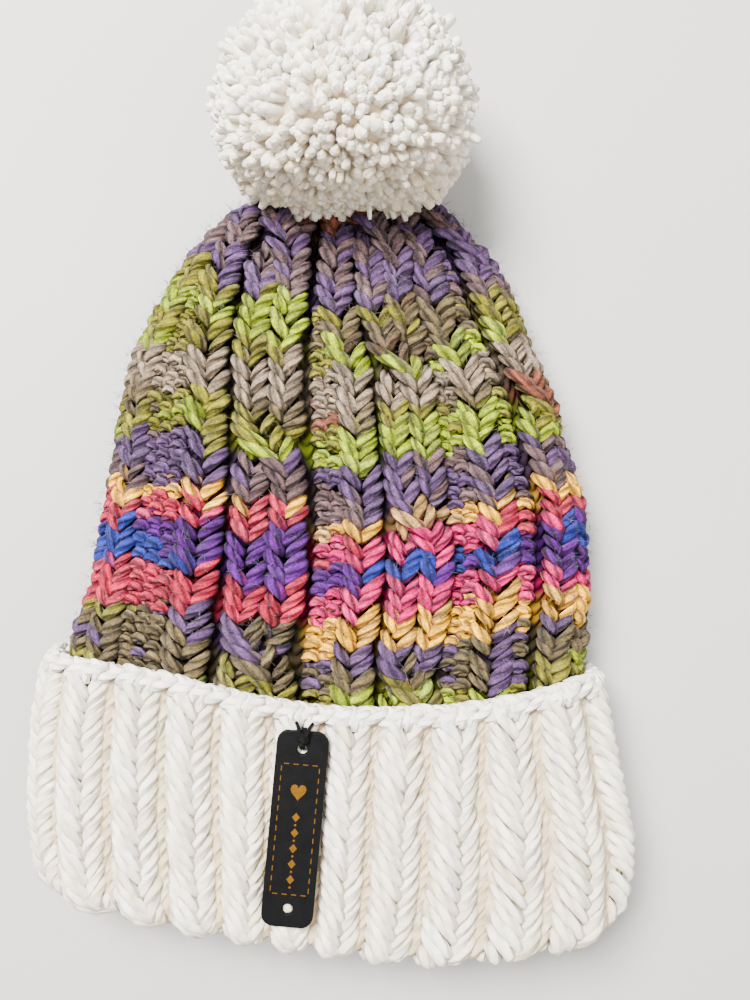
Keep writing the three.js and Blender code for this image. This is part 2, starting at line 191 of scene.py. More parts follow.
# The knitting as columns of stitches. wide: widths of one column; until: where along the
# knitting a decrease ends it; crossings: heights at which a cable's two strands cross
left_columns = [
    {"kind": "knit", "wide": 1.15, "until": 0.86},
    {"kind": "knit", "wide": 1.15, "until": 1.2},
    {"kind": "purl", "wide": 0.48, "until": 0.74},
    {"kind": "purl", "wide": 0.48, "until": 0.66, "shift": 0.5},
    {"kind": "purl", "wide": 0.48, "until": 0.6},
    {"kind": "knit", "wide": 1.6, "until": 1.2},
    {"kind": "groove", "wide": 0.35, "until": 0.9},
    {"kind": "cable", "wide": 2.65, "until": 1.2, "crossings": (28, 92, 156)},
    {"kind": "groove", "wide": 0.42, "until": 1.2},
]
right_columns = [
    {"kind": "purl", "wide": 0.475, "until": 0.68},
    {"kind": "purl", "wide": 0.475, "until": 0.62, "shift": 0.5},
    {"kind": "knit", "wide": 1.35, "until": 1.2},
    {"kind": "groove", "wide": 0.25, "until": 0.8},
    {"kind": "cable", "wide": 2.15, "until": 1.2, "crossings": (18, 68, 116, 160)},
    {"kind": "purl", "wide": 0.475, "until": 0.64},
    {"kind": "purl", "wide": 0.475, "until": 0.58, "shift": 0.5},
    {"kind": "knit", "wide": 1.45, "until": 1.2},
    {"kind": "purl", "wide": 0.5, "until": 0.78, "shift": 0.5},
    {"kind": "groove", "wide": 0.35, "until": 0.9},
    {"kind": "cable", "wide": 2.3, "until": 1.2, "crossings": (104, 152),
     "bulge": 0.8},
]
back_columns = [
    {"kind": "knit", "wide": 1.5, "until": 1.2},
    {"kind": "knit", "wide": 1.5, "until": 0.9},
    {"kind": "purl", "wide": 0.5, "until": 0.7},
    {"kind": "purl", "wide": 0.5, "until": 0.65, "shift": 0.5},
    {"kind": "knit", "wide": 1.5, "until": 1.2},
    {"kind": "groove", "wide": 0.3, "until": 0.9},
    {"kind": "cable", "wide": 2.8, "until": 1.2, "crossings": (28, 92, 156)},
    {"kind": "groove", "wide": 0.3, "until": 0.9},
    {"kind": "knit", "wide": 1.5, "until": 1.2},
    {"kind": "purl", "wide": 0.5, "until": 0.7},
    {"kind": "purl", "wide": 0.5, "until": 0.65, "shift": 0.5},
    {"kind": "knit", "wide": 1.5, "until": 1.2},
    {"kind": "purl", "wide": 0.5, "until": 0.7},
    {"kind": "purl", "wide": 0.5, "until": 0.65, "shift": 0.5},
    {"kind": "knit", "wide": 1.5, "until": 0.9},
    {"kind": "knit", "wide": 1.5, "until": 1.2},
]
seam_turn = 0.2303
body_sections = [
    {"columns": left_columns, "start": 0.0, "end": seam_turn},
    {"columns": right_columns, "start": seam_turn, "end": 0.5},
    {"columns": back_columns, "start": 0.5, "end": 1.0},
]

# The cuff's edges. at: share across from the left edge to the right edge
# lip: how far the upper edge stands over its lowest point; fold: how far down the fold is
cuff_edges = [
    {"at": 0.0, "lip": 0.215, "fold": 0.663},
    {"at": 0.05, "lip": 0.204, "fold": 0.729},
    {"at": 0.2, "lip": 0.148, "fold": 0.824},
    {"at": 0.375, "lip": 0.048, "fold": 0.911},
    {"at": 0.5, "lip": 0.002, "fold": 0.957},
    {"at": 0.675, "lip": 0.002, "fold": 1.0},
    {"at": 0.8, "lip": 0.04, "fold": 0.978},
    {"at": 0.9, "lip": 0.103, "fold": 0.926},
    {"at": 0.965, "lip": 0.125, "fold": 0.848},
    {"at": 1.0, "lip": 0.13, "fold": 0.782},
]

# The cuff's width. at: share of the way down; left, right: shares of half the cuff_width
cuff_sides = [
    {"at": 0.0, "left": 0.955, "right": 0.905},
    {"at": 0.3, "left": 0.99, "right": 0.945},
    {"at": 0.6, "left": 1.0, "right": 0.99},
    {"at": 0.8, "left": 0.995, "right": 1.0},
    {"at": 1.0, "left": 0.965, "right": 0.975},
]

# How far the cuff's ribs lean at the fold. at: share of the way round from the left edge
cuff_leans = [
    {"at": 0.0, "lean": 0.0},
    {"at": 0.16, "lean": -0.05},
    {"at": 0.22, "lean": -0.45},
    {"at": 0.29, "lean": -1.0},
    {"at": 0.35, "lean": -0.95},
    {"at": 0.41, "lean": -0.4},
    {"at": 0.47, "lean": 0.0},
    {"at": 1.0, "lean": 0.0},
]

# One stitch's yarn, from its foot to its head.
# across: shares of the column's width; up: rows; rise: yarn radii over the fabric
knit_leg = [
    {"across": 0.02, "up": -0.7, "rise": -1.0},
    {"across": 0.1, "up": -0.28, "rise": 0.2},
    {"across": 0.24, "up": 0.12, "rise": 0.75},
    {"across": 0.38, "up": 0.5, "rise": 0.45},
    {"across": 0.47, "up": 0.9, "rise": -0.9},
]
purl_bump = [
    {"across": -0.6, "up": -0.3, "rise": -0.9},
    {"across": -0.32, "up": 0.02, "rise": 0.3},
    {"across": 0.0, "up": 0.18, "rise": 0.75},
    {"across": 0.32, "up": 0.02, "rise": 0.3},
    {"across": 0.6, "up": -0.3, "rise": -0.9},
]
purl_dip = [
    {"across": -0.55, "up": 0.85, "rise": -1.2},
    {"across": -0.3, "up": 0.6, "rise": -0.4},
    {"across": 0.0, "up": 0.48, "rise": -0.1},
    {"across": 0.3, "up": 0.6, "rise": -0.4},
    {"across": 0.55, "up": 0.85, "rise": -1.2},
]

# The cuff's stitches: a broad leg on the front of the rib and a steep one on its side
broad_leg = [
    {"across": 0.13, "up": -1.1, "rise": -0.7},
    {"across": 0.05, "up": -0.4, "rise": 0.5},
    {"across": -0.1, "up": 0.3, "rise": 0.8},
    {"across": -0.25, "up": 0.95, "rise": 0.45},
    {"across": -0.36, "up": 1.5, "rise": -0.8},
]
side_leg = [
    {"across": 0.13, "up": -0.9, "rise": -0.9},
    {"across": 0.19, "up": -0.3, "rise": 0.2},
    {"across": 0.26, "up": 0.3, "rise": 0.5},
    {"across": 0.34, "up": 0.9, "rise": 0.2},
    {"across": 0.41, "up": 1.4, "rise": -0.8},
]
valley_bump = [
    {"across": 0.36, "up": -0.9, "rise": -1.3},
    {"across": 0.44, "up": -0.3, "rise": -0.75},
    {"across": 0.5, "up": 0.3, "rise": -0.65},
    {"across": 0.56, "up": 0.9, "rise": -0.75},
    {"across": 0.62, "up": 1.4, "rise": -1.3},
]

# Dye lots of the striped yarn and the plain yarns, and a cream that stands for painted shade
# on the white yarn
yarn_hex = {
    "lime": "7c8a00",
    "olive": "666014",
    "purple": "4a3353",
    "mauve": "554040",
    "taupe": "53462d",
    "grey_beige": "7c6a56",
    "coral": "9c1633",
    "magenta": "b00050",
    "violet": "43105c",
    "blue": "1c2674",
    "mustard": "d89a00",
    "tan": "a67c40",
    "brown": "4a3a26",
    "rust": "703c29",
    "white": "eee7db",
    "cream_shade": "c4ae88",
    "black": "080808",
}

# The stripes from the cuff to the crown, with the height in mm at which each one ends.
# edge: the left edge; cable: the left cable; a to d: from the seam to the right edge
stripes = [
    {"left": ("lime", "olive"), "right": ("lime", "olive"),
     "edge": 18, "cable": 15, "a": 17, "b": 18, "c": 17, "d": 29},
    {"left": ("purple", "taupe", "olive"), "right": ("purple", "taupe", "purple"),
     "edge": 43, "cable": 37, "a": 27, "b": 30, "c": 34, "d": 40},
    {"left": ("coral",), "right": ("mustard",),
     "edge": 43, "cable": 37, "a": 38, "b": 41, "c": 46, "d": 46},
    {"left": ("coral",), "right": ("magenta",),
     "edge": 55, "cable": 50, "a": 48, "b": 51, "c": 54, "d": 54},
    {"left": ("violet", "blue", "violet"), "right": ("blue", "violet"), "cable_dye": "violet",
     "edge": 69, "cable": 66, "a": 55, "b": 57, "c": 62, "d": 69},
    {"left": ("magenta", "coral"), "right": ("magenta", "coral"), "cable_dye": "coral",
     "edge": 76, "cable": 73, "a": 62, "b": 66, "c": 71, "d": 77},
    {"left": ("mustard",), "right": ("tan", "mustard"),
     "edge": 80, "cable": 76, "a": 67, "b": 71, "c": 75, "d": 82},
    {"left": ("purple", "mauve"), "right": ("mauve", "purple", "mauve"),
     "edge": 96, "cable": 89, "a": 85, "b": 87, "c": 93, "d": 96},
    {"left": ("lime", "olive"), "right": ("lime", "lime", "olive"),
     "edge": 104, "cable": 92, "a": 96, "b": 99, "c": 106, "d": 104},
    {"left": ("olive", "taupe"), "right": ("olive", "taupe", "olive", "rust"),
     "edge": 109, "cable": 105, "a": 101, "b": 105, "c": 110, "d": 116},
    {"left": ("grey_beige",), "right": ("grey_beige",),
     "edge": 121, "cable": 119, "a": 115, "b": 113, "c": 124, "d": 128},
    {"left": ("olive", "lime"), "right": ("lime", "olive"),
     "edge": 137, "cable": 136, "a": 122, "b": 114, "c": 133, "d": 136},
    {"left": ("olive", "lime"), "right": ("brown", "taupe", "olive"),
     "edge": 152, "cable": 138, "a": 133, "b": 137, "c": 140, "d": 152},
    {"left": ("purple", "mauve"), "right": ("purple", "mauve", "purple"),
     "edge": 166, "cable": 164, "a": 158, "b": 165, "c": 166, "d": 166},
    {"left": ("mustard", "taupe"), "right": ("rust", "mustard", "rust"),
     "edge": 260, "cable": 260, "a": 260, "b": 260, "c": 260, "d": 260},
]
# Where across the hat the heights a to d hold, and where the deep groove left of the left
# cable, the seam and the middle of the gather lie
stripe_places = {"a": 3, "b": 24, "c": 52, "d": 70}
groove_place = -36.5
seam_place = -9.0
gather_place = 3
gather_reach = 12


# An sRGB hex colour as linear red, green and blue
def linear(colour):
    parts = [int(colour[i:i + 2], 16) / 255 for i in (0, 2, 4)]
    return tuple(p / 12.92 if p < 0.04045 else ((p + 0.055) / 1.055) ** 2.4 for p in parts)


palette = {name: np.array(linear(colour)) for name, colour in yarn_hex.items()}


# Runs from 0 at low to 1 at high without a corner
def smooth(value, low, high):
    share = np.clip((value - low) / (high - low), 0, 1)
    return share * share * (3 - 2 * share)


# Reads one column of a table as a smooth curve through its rows.
def along(table, column, at):
    place = np.array([row["at"] for row in table])
    value = np.array([row[column] for row in table], dtype=float)
    before = np.maximum(np.arange(len(place)) - 1, 0)
    after = np.minimum(np.arange(len(place)) + 1, len(place) - 1)
    slope = (value[after] - value[before]) / (place[after] - place[before])
    i = np.clip(np.searchsorted(place, at, side="right") - 1, 0, len(place) - 2)
    span = place[i + 1] - place[i]
    f = np.clip((at - place[i]) / span, 0, 1)
    f2 = f * f
    f3 = f2 * f
    start = (2 * f3 - 3 * f2 + 1) * value[i] + (f3 - 2 * f2 + f) * slope[i] * span
    return start + (-2 * f3 + 3 * f2) * value[i + 1] + (f3 - f2) * slope[i + 1] * span


# A flattened ring seen along the hat: straight above and below, round at both sides.
# turn: 0 at the left edge, over the top to 0.5 at the right edge, and back underneath.
def flat_ring(turn, left, right, thick):
    turn = np.mod(turn, 1)
    r = thick / 2
    straight = np.maximum(left + right - thick, 0)
    quarter = math.pi * r / 2
    on_top = turn < 0.5
    s = np.where(on_top, turn, turn - 0.5) * 2 * (straight + 2 * quarter)
    first = s < quarter
    last = s > quarter + straight
    bend = np.where(first, s, s - quarter - straight) / r
    x = np.where(last, r + straight + r * np.sin(bend), s - quarter + r)
    x = np.where(first, r - r * np.cos(bend), x)
    z = np.where(first, r * np.sin(bend), np.where(last, r * np.cos(bend), r))
    nx = np.where(first, -np.cos(bend), np.where(last, np.sin(bend), 0))
    nz = np.where(first, np.sin(bend), np.where(last, np.cos(bend), 1))
    up = np.where(on_top, 1, -1)
    start = np.where(on_top, -left, right)
    return start + up * x, up * z, up * nx, up * nz


# How far the pompom reaches from its middle: round, but squarer where it sits on the hat.
def ball_reach(aim):
    length = np.where(aim[..., 1] > 0, pompom_reach, pompom_seat)
    power = 2 + seat_squareness * np.maximum(-aim[..., 1], 0)
    x = np.abs(2 * aim[..., 0] / pompom_size) ** power
    y = np.abs(aim[..., 1] / length) ** power
    z = np.abs(2 * aim[..., 2] / pompom_height) ** power
    return (x + y + z) ** (-1 / power)


# Knitting gives way to the pompom that is pressed into it.
def pressed(points, apart):
    away = points - pompom_middle
    far = np.linalg.norm(away, axis=-1, keepdims=True)
    aim = away / np.maximum(far, 1e-6)
    reach = ball_reach(aim)[..., None] + apart
    return np.where(far < reach, pompom_middle + aim * reach, points)


# A point of the body's wall, `deep` under its outer face and `raised` over it. At its lower
# edge the body is lifted to the middle of the cuff that holds it.
def body_point(turn, at, deep, raised):
    held_by_cuff = 0.2
    at = np.clip(at, 0, 1)
    left = along(body_rings, "left", at) * body_width / 2 - deep
    right = along(body_rings, "right", at) * body_width / 2 - deep
    thick = along(body_rings, "thick", at) * body_thick - 2 * deep
    under = along(body_rings, "under", at) * body_thick
    first = body_rings[0]
    lift = (cuff_thick - body_thick * first["thick"]) / 2 - body_thick * first["under"]
    fade = np.maximum(1 - at / held_by_cuff, 0)
    ring = flat_ring(turn, np.maximum(left, 0.5), np.maximum(right, 0.5), np.maximum(thick, 1))
    on_top = np.mod(turn, 1) < 0.5
    dome = np.where(on_top, body_dome * np.sin(2 * math.pi * turn), 0)
    dome = dome * np.minimum(thick / body_thick, 1)
    x = ring[0] + ring[2] * raised
    z = under + fade * lift + deep + thick / 2 + ring[1] + ring[3] * raised + dome
    share = x / (body_width / 2)
    bow = edge_rise * share * share * (1 - at) ** 2 * (1 + at)
    y = along(body_rings, "up", at) * body_length + bow
    return np.stack([x, y, z], axis=-1)


# A point of the cuff. down: share of the way from lip to fold; deep: under the outer face
def cuff_point(turn, down, deep, raised):
    left = along(cuff_sides, "left", down) * cuff_width / 2 - deep
    right = along(cuff_sides, "right", down) * cuff_width / 2 - deep
    thick = cuff_thick - 2 * deep
    ring = flat_ring(turn, left, right, thick)
    on_top = np.mod(turn, 1) < 0.5
    dome = np.where(on_top, cuff_dome * np.sin(2 * math.pi * turn), 0)
    x = ring[0] + ring[2] * raised
    share = np.clip(0.5 + ring[0] / cuff_width, 0, 1)
    lip = cuff_lap + along(cuff_edges, "lip", share) * cuff_depth
    fold = cuff_lap - along(cuff_edges, "fold", share) * cuff_depth
    y = lip + (fold - lip) * down
    z = thick / 2 + deep + ring[1] + ring[3] * raised + dome
    return np.stack([x, y, z], axis=-1)


# How far round the cuff's ribs lean at a place down the cuff
def leaning(turn, down):
    lean = along(cuff_leans, "lean", np.mod(turn, 1))
    return turn + lean * rib_lean / (2 * (cuff_width + cuff_thick)) * down


cuff_layers = 2 * cuff_wall + cuff_slit
fold_share = cuff_layers / 2 / cuff_depth


# The way over the cuff's outer face, round the fold and up its inner face
def fold_over(way):
    turn_start = 1 - fold_share
    turn_length = math.pi * fold_share
    bend = np.clip((way - turn_start) / turn_length, 0, 1) * math.pi
    inside = np.maximum(way - turn_start - turn_length, 0)
    down = np.minimum(way, turn_start) + fold_share * np.sin(bend) - inside
    deep = cuff_layers / 2 * (1 - np.cos(bend))
    return down, deep


# From the hat's own millimetres to the frame's metres. Nothing goes below the surface.
def placed(points):
    lowest = 0.04
    moved = np.asarray(points, dtype=float) + np.array([centre_line, lower_edge, 0])
    moved[..., 2] = np.maximum(moved[..., 2], lowest)
    return moved / 1000


# The directions that face away from a surface given as a function of two values
def facing(surface, u, v, step=0.002):
    du = surface(u + step, v) - surface(u - step, v)
    dv = surface(u, v + step) - surface(u, v - step)
    normal = np.cross(du, dv)
    return normal / np.maximum(np.linalg.norm(normal, axis=-1, keepdims=True), 1e-9)


# Shares of the control points at each place along a smooth path
def path_weights(places, count):
    t = np.clip(places, 0, 1) * (count - 1)
    i = np.clip(np.floor(t).astype(int), 0, count - 2)
    f = t - i
    weights = np.zeros((len(places), count))
    shares = (
        (-1, -0.5 * f + f**2 - 0.5 * f**3),
        (0, 1 - 2.5 * f**2 + 1.5 * f**3),
        (1, 0.5 * f + 2 * f**2 - 1.5 * f**3),
        (2, -0.5 * f**2 + 0.5 * f**3),
    )
    for step, share in shares:
        np.add.at(weights, (np.arange(len(t)), np.clip(i + step, 0, count - 1)), share)
    return weights


# One straight piece of yarn to copy: a capped tube, with its stations and sides marked
def yarn_template(sides, rings):
    bm = bmesh.new()
    bmesh.ops.create_cone(bm, cap_ends=True, segments=sides, radius1=1, radius2=1, depth=2)
    lengthwise = [e for e in bm.edges if abs(e.verts[0].co.z - e.verts[1].co.z) > 1]
    bmesh.ops.subdivide_edges(bm, edges=lengthwise, cuts=rings - 2, use_grid_fill=True)
    caps = [f for f in bm.faces if abs(f.normal.z) > 0.9]
    bmesh.ops.poke(bm, faces=caps, offset=0.12)
    uv = bm.loops.layers.uv.new("strand")
    for face in bm.faces:
        middle = face.calc_center_median()
        heading = math.atan2(middle.y, middle.x)
        for loop in face.loops:
            co = loop.vert.co
            spin = math.atan2(co.y, co.x) if co.xy.length > 0.5 else heading
            spin = heading + (spin - heading + math.pi) % (2 * math.pi) - math.pi
            loop[uv].uv = ((co.z + 1) / 2, spin / (2 * math.pi))
    mark = bm.verts.layers.int.new("corner")
    for i, vert in enumerate(bm.verts):
        vert[mark] = i
    mesh = bpy.data.meshes.new("template")
    bm.to_mesh(mesh)
    bm.free()
    return mesh


# Many copies of the template, told apart by how far each one is moved along x
def yarn_copies(template, count):
    bm = bmesh.new()
    bm.from_mesh(template)
    apart = 4
    size = len(bm.verts)
    faces = len(bm.faces)
    made = 1
    while made < count:
        more = min(made, count - made)
        bm.verts.ensure_lookup_table()
        bm.faces.ensure_lookup_table()
        source = bm.verts[:more * size]
        kept = set(source)
        edges = [e for e in bm.edges if e.verts[0] in kept]
        copied = bmesh.ops.duplicate(bm, geom=source + edges + bm.faces[:more * faces])
        verts = [v for v in copied["geom"] if isinstance(v, bmesh.types.BMVert)]
        bmesh.ops.translate(bm, verts=verts, vec=(apart * made, 0, 0))
        made += more
    bm.verts.index_update()
    mesh = bpy.data.meshes.new("copies")
    bm.to_mesh(mesh)
    bm.free()
    where = np.empty(len(mesh.vertices) * 3)
    mesh.vertices.foreach_get("co", where)
    copy = np.rint(where[0::3] / apart).astype(int)
    corner = np.empty(len(mesh.vertices), dtype=int)
    mesh.attributes["corner"].data.foreach_get("value", corner)
    return mesh, copy, corner


# Puts a finished mesh in the scene as a piece that rides with the hat.
def add_piece(name, mesh, material):
    mesh.name = name
    piece = bpy.data.objects.new(name, mesh)
    bpy.context.scene.collection.objects.link(piece)
    mesh.materials.clear()
    mesh.materials.append(material)
    mesh.shade_smooth()
    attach(piece, "root")
    return piece


# Gives each point its strand's colour, with any painted shade in it, and the colour of the
# strand's odd ply.
def paint(mesh, colours, plies=None):
    layer = mesh.color_attributes.new("yarn_colour", "FLOAT_COLOR", "POINT")
    layer.data.foreach_set("color", np.asarray(colours, dtype=float).ravel())
    second = mesh.color_attributes.new("ply_colour", "FLOAT_COLOR", "POINT")
    plies = colours if plies is None else plies
    second.data.foreach_set("color", np.asarray(plies, dtype=float).ravel())


# The middle of each strand at the given places along it, and the directions that run
# along it, to its side and out of the fabric there
def strand_frames(place, paths, facings):
    step = 0.02
    count = paths.shape[1]
    centre = np.einsum("vk,skc->svc", path_weights(place, count), paths)
    ahead = np.einsum("vk,skc->svc", path_weights(place + step, count), paths)
    behind = np.einsum("vk,skc->svc", path_weights(place - step, count), paths)
    heading = ahead - behind
    heading /= np.maximum(np.linalg.norm(heading, axis=-1, keepdims=True), 1e-9)
    up = np.einsum("vk,skc->svc", path_weights(place, count), facings)
    aside = np.cross(heading, up)
    aside /= np.maximum(np.linalg.norm(aside, axis=-1, keepdims=True), 1e-9)
    return centre, heading, aside, np.cross(aside, heading)


# The dye of each strand's odd ply: part of the way to its neighbour's, and lighter or darker
def ply_dyes(colours):
    toned = colours.copy()
    blend = chance.uniform(0.0, 0.75, (len(colours), 1))
    toned[:, :3] = colours[:, :3] * (1 - blend) + np.roll(colours[:, :3], 1, axis=0) * blend
    toned[:, :3] *= chance.uniform(0.66, 1.1, (len(colours), 1))
    return toned


# Yarn laid along many paths. paths: strands by control points; facings: the same;
# radii: one for each strand; colours: one for each strand, with its twist as the fourth
# value; ends: share of its thickness that a strand keeps at its ends
def lay_yarn(name, paths, facings, radii, colours, material, sides=8, rings=6, ends=0.8):
    cap_roundness = 6
    template = yarn_template(sides, rings)
    flat = np.empty(len(template.vertices) * 3)
    template.vertices.foreach_get("co", flat)
    corners = flat.reshape(-1, 3)
    place = (corners[:, 2] + 1) / 2
    beyond = place - np.clip(place, 0, 1)
    spin = np.arctan2(corners[:, 1], corners[:, 0])
    out = np.minimum(np.hypot(corners[:, 0], corners[:, 1]), 1)
    thin = ends + (1 - ends) * np.sin(math.pi * np.clip(place, 0, 1)) ** 0.6
    centre, heading, aside, up = strand_frames(place, paths, facings)
    r = radii[:, None, None] * (thin * out)[None, :, None]
    shape = centre + r * (np.cos(spin)[:, None] * aside + np.sin(spin)[:, None] * up)
    shape += heading * (beyond[None, :, None] * cap_roundness * radii[:, None, None])
    mesh, copy, corner = yarn_copies(template, len(paths))
    mesh.vertices.foreach_set("co", placed(shape[copy, corner]).ravel())
    paint(mesh, colours[copy], ply_dyes(colours)[copy])
    mesh.update()
    bpy.data.meshes.remove(template)
    return add_piece(name, mesh, material)


# Adds a node with its settings and its inputs, given as values or as sockets to link.
def add_node(tree, kind, inputs=None, **settings):
    node = tree.nodes.new(kind)
    for name, value in settings.items():
        setattr(node, name, value)
    for name, value in (inputs or {}).items():
        if isinstance(value, bpy.types.NodeSocket):
            tree.links.new(value, node.inputs[name])
        else:
            node.inputs[name].default_value = value
    return node


# A material with its node tree and its main shader
def new_material(name, roughness):
    material = bpy.data.materials.new(name)
    material.use_nodes = True
    shader = material.node_tree.nodes["Principled BSDF"]
    shader.inputs["Roughness"].default_value = roughness
    return material, material.node_tree, shader


# Plied acrylic yarn: the plies run round the strand as ridges with painted shade in the lines
# between them, and combed fibres break up the surface, so that it looks soft and matt.
# strand_length: of one stitch's yarn; shadow: tone of the painted shade between the plies;
# light: of the lightest fibres; depth: of the plies in metres; tucked_shade: tone of the
# painted shade at a stitch's ends, where it goes under its neighbours
def plied_yarn(name, strand_length, shadow, light, sheen, depth, tucked_shade):
    material, tree, shader = new_material(name, 0.88)
    shader.inputs["IOR"].default_value = 1.5
    shader.inputs["Specular IOR Level"].default_value = 0.12
    shader.inputs["Sheen Weight"].default_value = sheen
    shader.inputs["Sheen Roughness"].default_value = 0.45
    colour = add_node(tree, "ShaderNodeVertexColor", layer_name="yarn_colour")
    place = add_node(tree, "ShaderNodeUVMap", uv_map="strand")
    parts = add_node(tree, "ShaderNodeSeparateXYZ", {0: place.outputs[0]})
    lengthwise = add_node(
        tree, "ShaderNodeMath", {0: parts.outputs[0], 1: strand_length / ply_pitch * ply_count},
        operation="MULTIPLY")
    around = add_node(
        tree, "ShaderNodeMath", {0: parts.outputs[1], 1: ply_count}, operation="MULTIPLY")
    twist = add_node(
        tree, "ShaderNodeMath", {0: lengthwise.outputs[0], 1: around.outputs[0]}, operation="ADD")
    phase = add_node(
        tree, "ShaderNodeMath", {0: twist.outputs[0], 1: colour.outputs["Alpha"]}, operation="ADD")
    turn = add_node(
        tree, "ShaderNodeMath", {0: phase.outputs[0], 1: math.pi}, operation="MULTIPLY")
    wave = add_node(tree, "ShaderNodeMath", {0: turn.outputs[0]}, operation="SINE")
    ridge = add_node(tree, "ShaderNodeMath", {0: wave.outputs[0]}, operation="ABSOLUTE")
    other = add_node(tree, "ShaderNodeVertexColor", layer_name="ply_colour")
    third = add_node(
        tree, "ShaderNodeMath", {0: phase.outputs[0], 1: 2 * math.pi / ply_count}, operation="MULTIPLY")
    single = add_node(tree, "ShaderNodeMath", {0: third.outputs[0]}, operation="SINE")
    one_ply = add_node(
        tree, "ShaderNodeMapRange", {"Value": single.outputs[0], "From Min": 0.0, "From Max": 0.5})
    dyes = add_node(
        tree, "ShaderNodeMix",
        {"Factor": one_ply.outputs[0], "A": colour.outputs["Color"], "B": other.outputs["Color"]},
        data_type="RGBA")
    # Painted shade: each strand darkens towards its ends, where it goes under its neighbours
    ends = add_node(
        tree, "ShaderNodeMath", {0: parts.outputs[0], 1: math.pi}, operation="MULTIPLY")
    middle = add_node(tree, "ShaderNodeMath", {0: ends.outputs[0]}, operation="SINE")
    painted_end_shade = add_node(
        tree, "ShaderNodeMapRange",
        {"Value": middle.outputs[0], "From Min": 0.0, "From Max": 0.75, "To Min": tucked_shade, "To Max": 1.0})
    where = add_node(tree, "ShaderNodeTexCoord")
    fibres = add_node(
        tree, "ShaderNodeTexNoise",
        {"Vector": where.outputs["Object"], "Scale": 1000 / fibre_size, "Detail": 4.0, "Roughness": 0.65})
    clumps = add_node(
        tree, "ShaderNodeTexNoise",
        {"Vector": where.outputs["Object"], "Scale": 1000 / clump_size, "Detail": 3.0, "Roughness": 0.6})
    # Painted shade in the lines between the plies
    tone = add_node(
        tree, "ShaderNodeMapRange",
        {"Value": ridge.outputs[0], "From Min": 0.0, "From Max": 0.9, "To Min": shadow, "To Max": 1.0})
    speck = add_node(
        tree, "ShaderNodeMapRange",
        {"Value": clumps.outputs[0], "From Min": 0.3, "From Max": 0.7, "To Min": 0.84, "To Max": light})
    mottle = add_node(
        tree, "ShaderNodeMath", {0: tone.outputs[0], 1: speck.outputs[0]}, operation="MULTIPLY")
    along_ply = add_node(
        tree, "ShaderNodeMath", {0: parts.outputs[0], 1: 2.5}, operation="MULTIPLY")
    across_ply = add_node(
        tree, "ShaderNodeMath", {0: phase.outputs[0], 1: 2.6}, operation="MULTIPLY")
    own = add_node(
        tree, "ShaderNodeMath", {0: colour.outputs["Alpha"], 1: 60.0}, operation="MULTIPLY")
    lay = add_node(
        tree, "ShaderNodeCombineXYZ",
        {0: along_ply.outputs[0], 1: across_ply.outputs[0], 2: own.outputs[0]})
    streaks = add_node(
        tree, "ShaderNodeTexNoise",
        {"Vector": lay.outputs[0], "Scale": 1.0, "Detail": 3.0, "Roughness": 0.6})
    streak = add_node(
        tree, "ShaderNodeMapRange",
        {"Value": streaks.outputs[0], "From Min": 0.34, "From Max": 0.66,
         "To Min": 2 - light, "To Max": light})
    combed = add_node(
        tree, "ShaderNodeMath", {0: mottle.outputs[0], 1: streak.outputs[0]}, operation="MULTIPLY")
    hair = add_node(
        tree, "ShaderNodeMapRange",
        {"Value": fibres.outputs[0], "From Min": 0.35, "From Max": 0.65,
         "To Min": 1.8 - 0.8 * light, "To Max": 0.2 + 0.8 * light})
    felted = add_node(
        tree, "ShaderNodeMath", {0: combed.outputs[0], 1: hair.outputs[0]}, operation="MULTIPLY")
    shade = add_node(
        tree, "ShaderNodeMath", {0: felted.outputs[0], 1: painted_end_shade.outputs[0]}, operation="MULTIPLY")
    dyed = add_node(
        tree, "ShaderNodeVectorMath", {0: dyes.outputs["Result"], "Scale": shade.outputs[0]},
        operation="SCALE")
    tree.links.new(dyed.outputs[0], shader.inputs["Base Color"])
    hairs = add_node(
        tree, "ShaderNodeMath", {0: fibres.outputs[0], 1: streaks.outputs[0]}, operation="ADD")
    rough = add_node(
        tree, "ShaderNodeMath", {0: hairs.outputs[0], 1: 0.6}, operation="MULTIPLY")
    height = add_node(
        tree, "ShaderNodeMath", {0: ridge.outputs[0], 1: rough.outputs[0]}, operation="ADD")
    bump = add_node(
        tree, "ShaderNodeBump", {"Height": height.outputs[0], "Strength": 1.0, "Distance": depth})
    tree.links.new(bump.outputs[0], shader.inputs["Normal"])
    return material


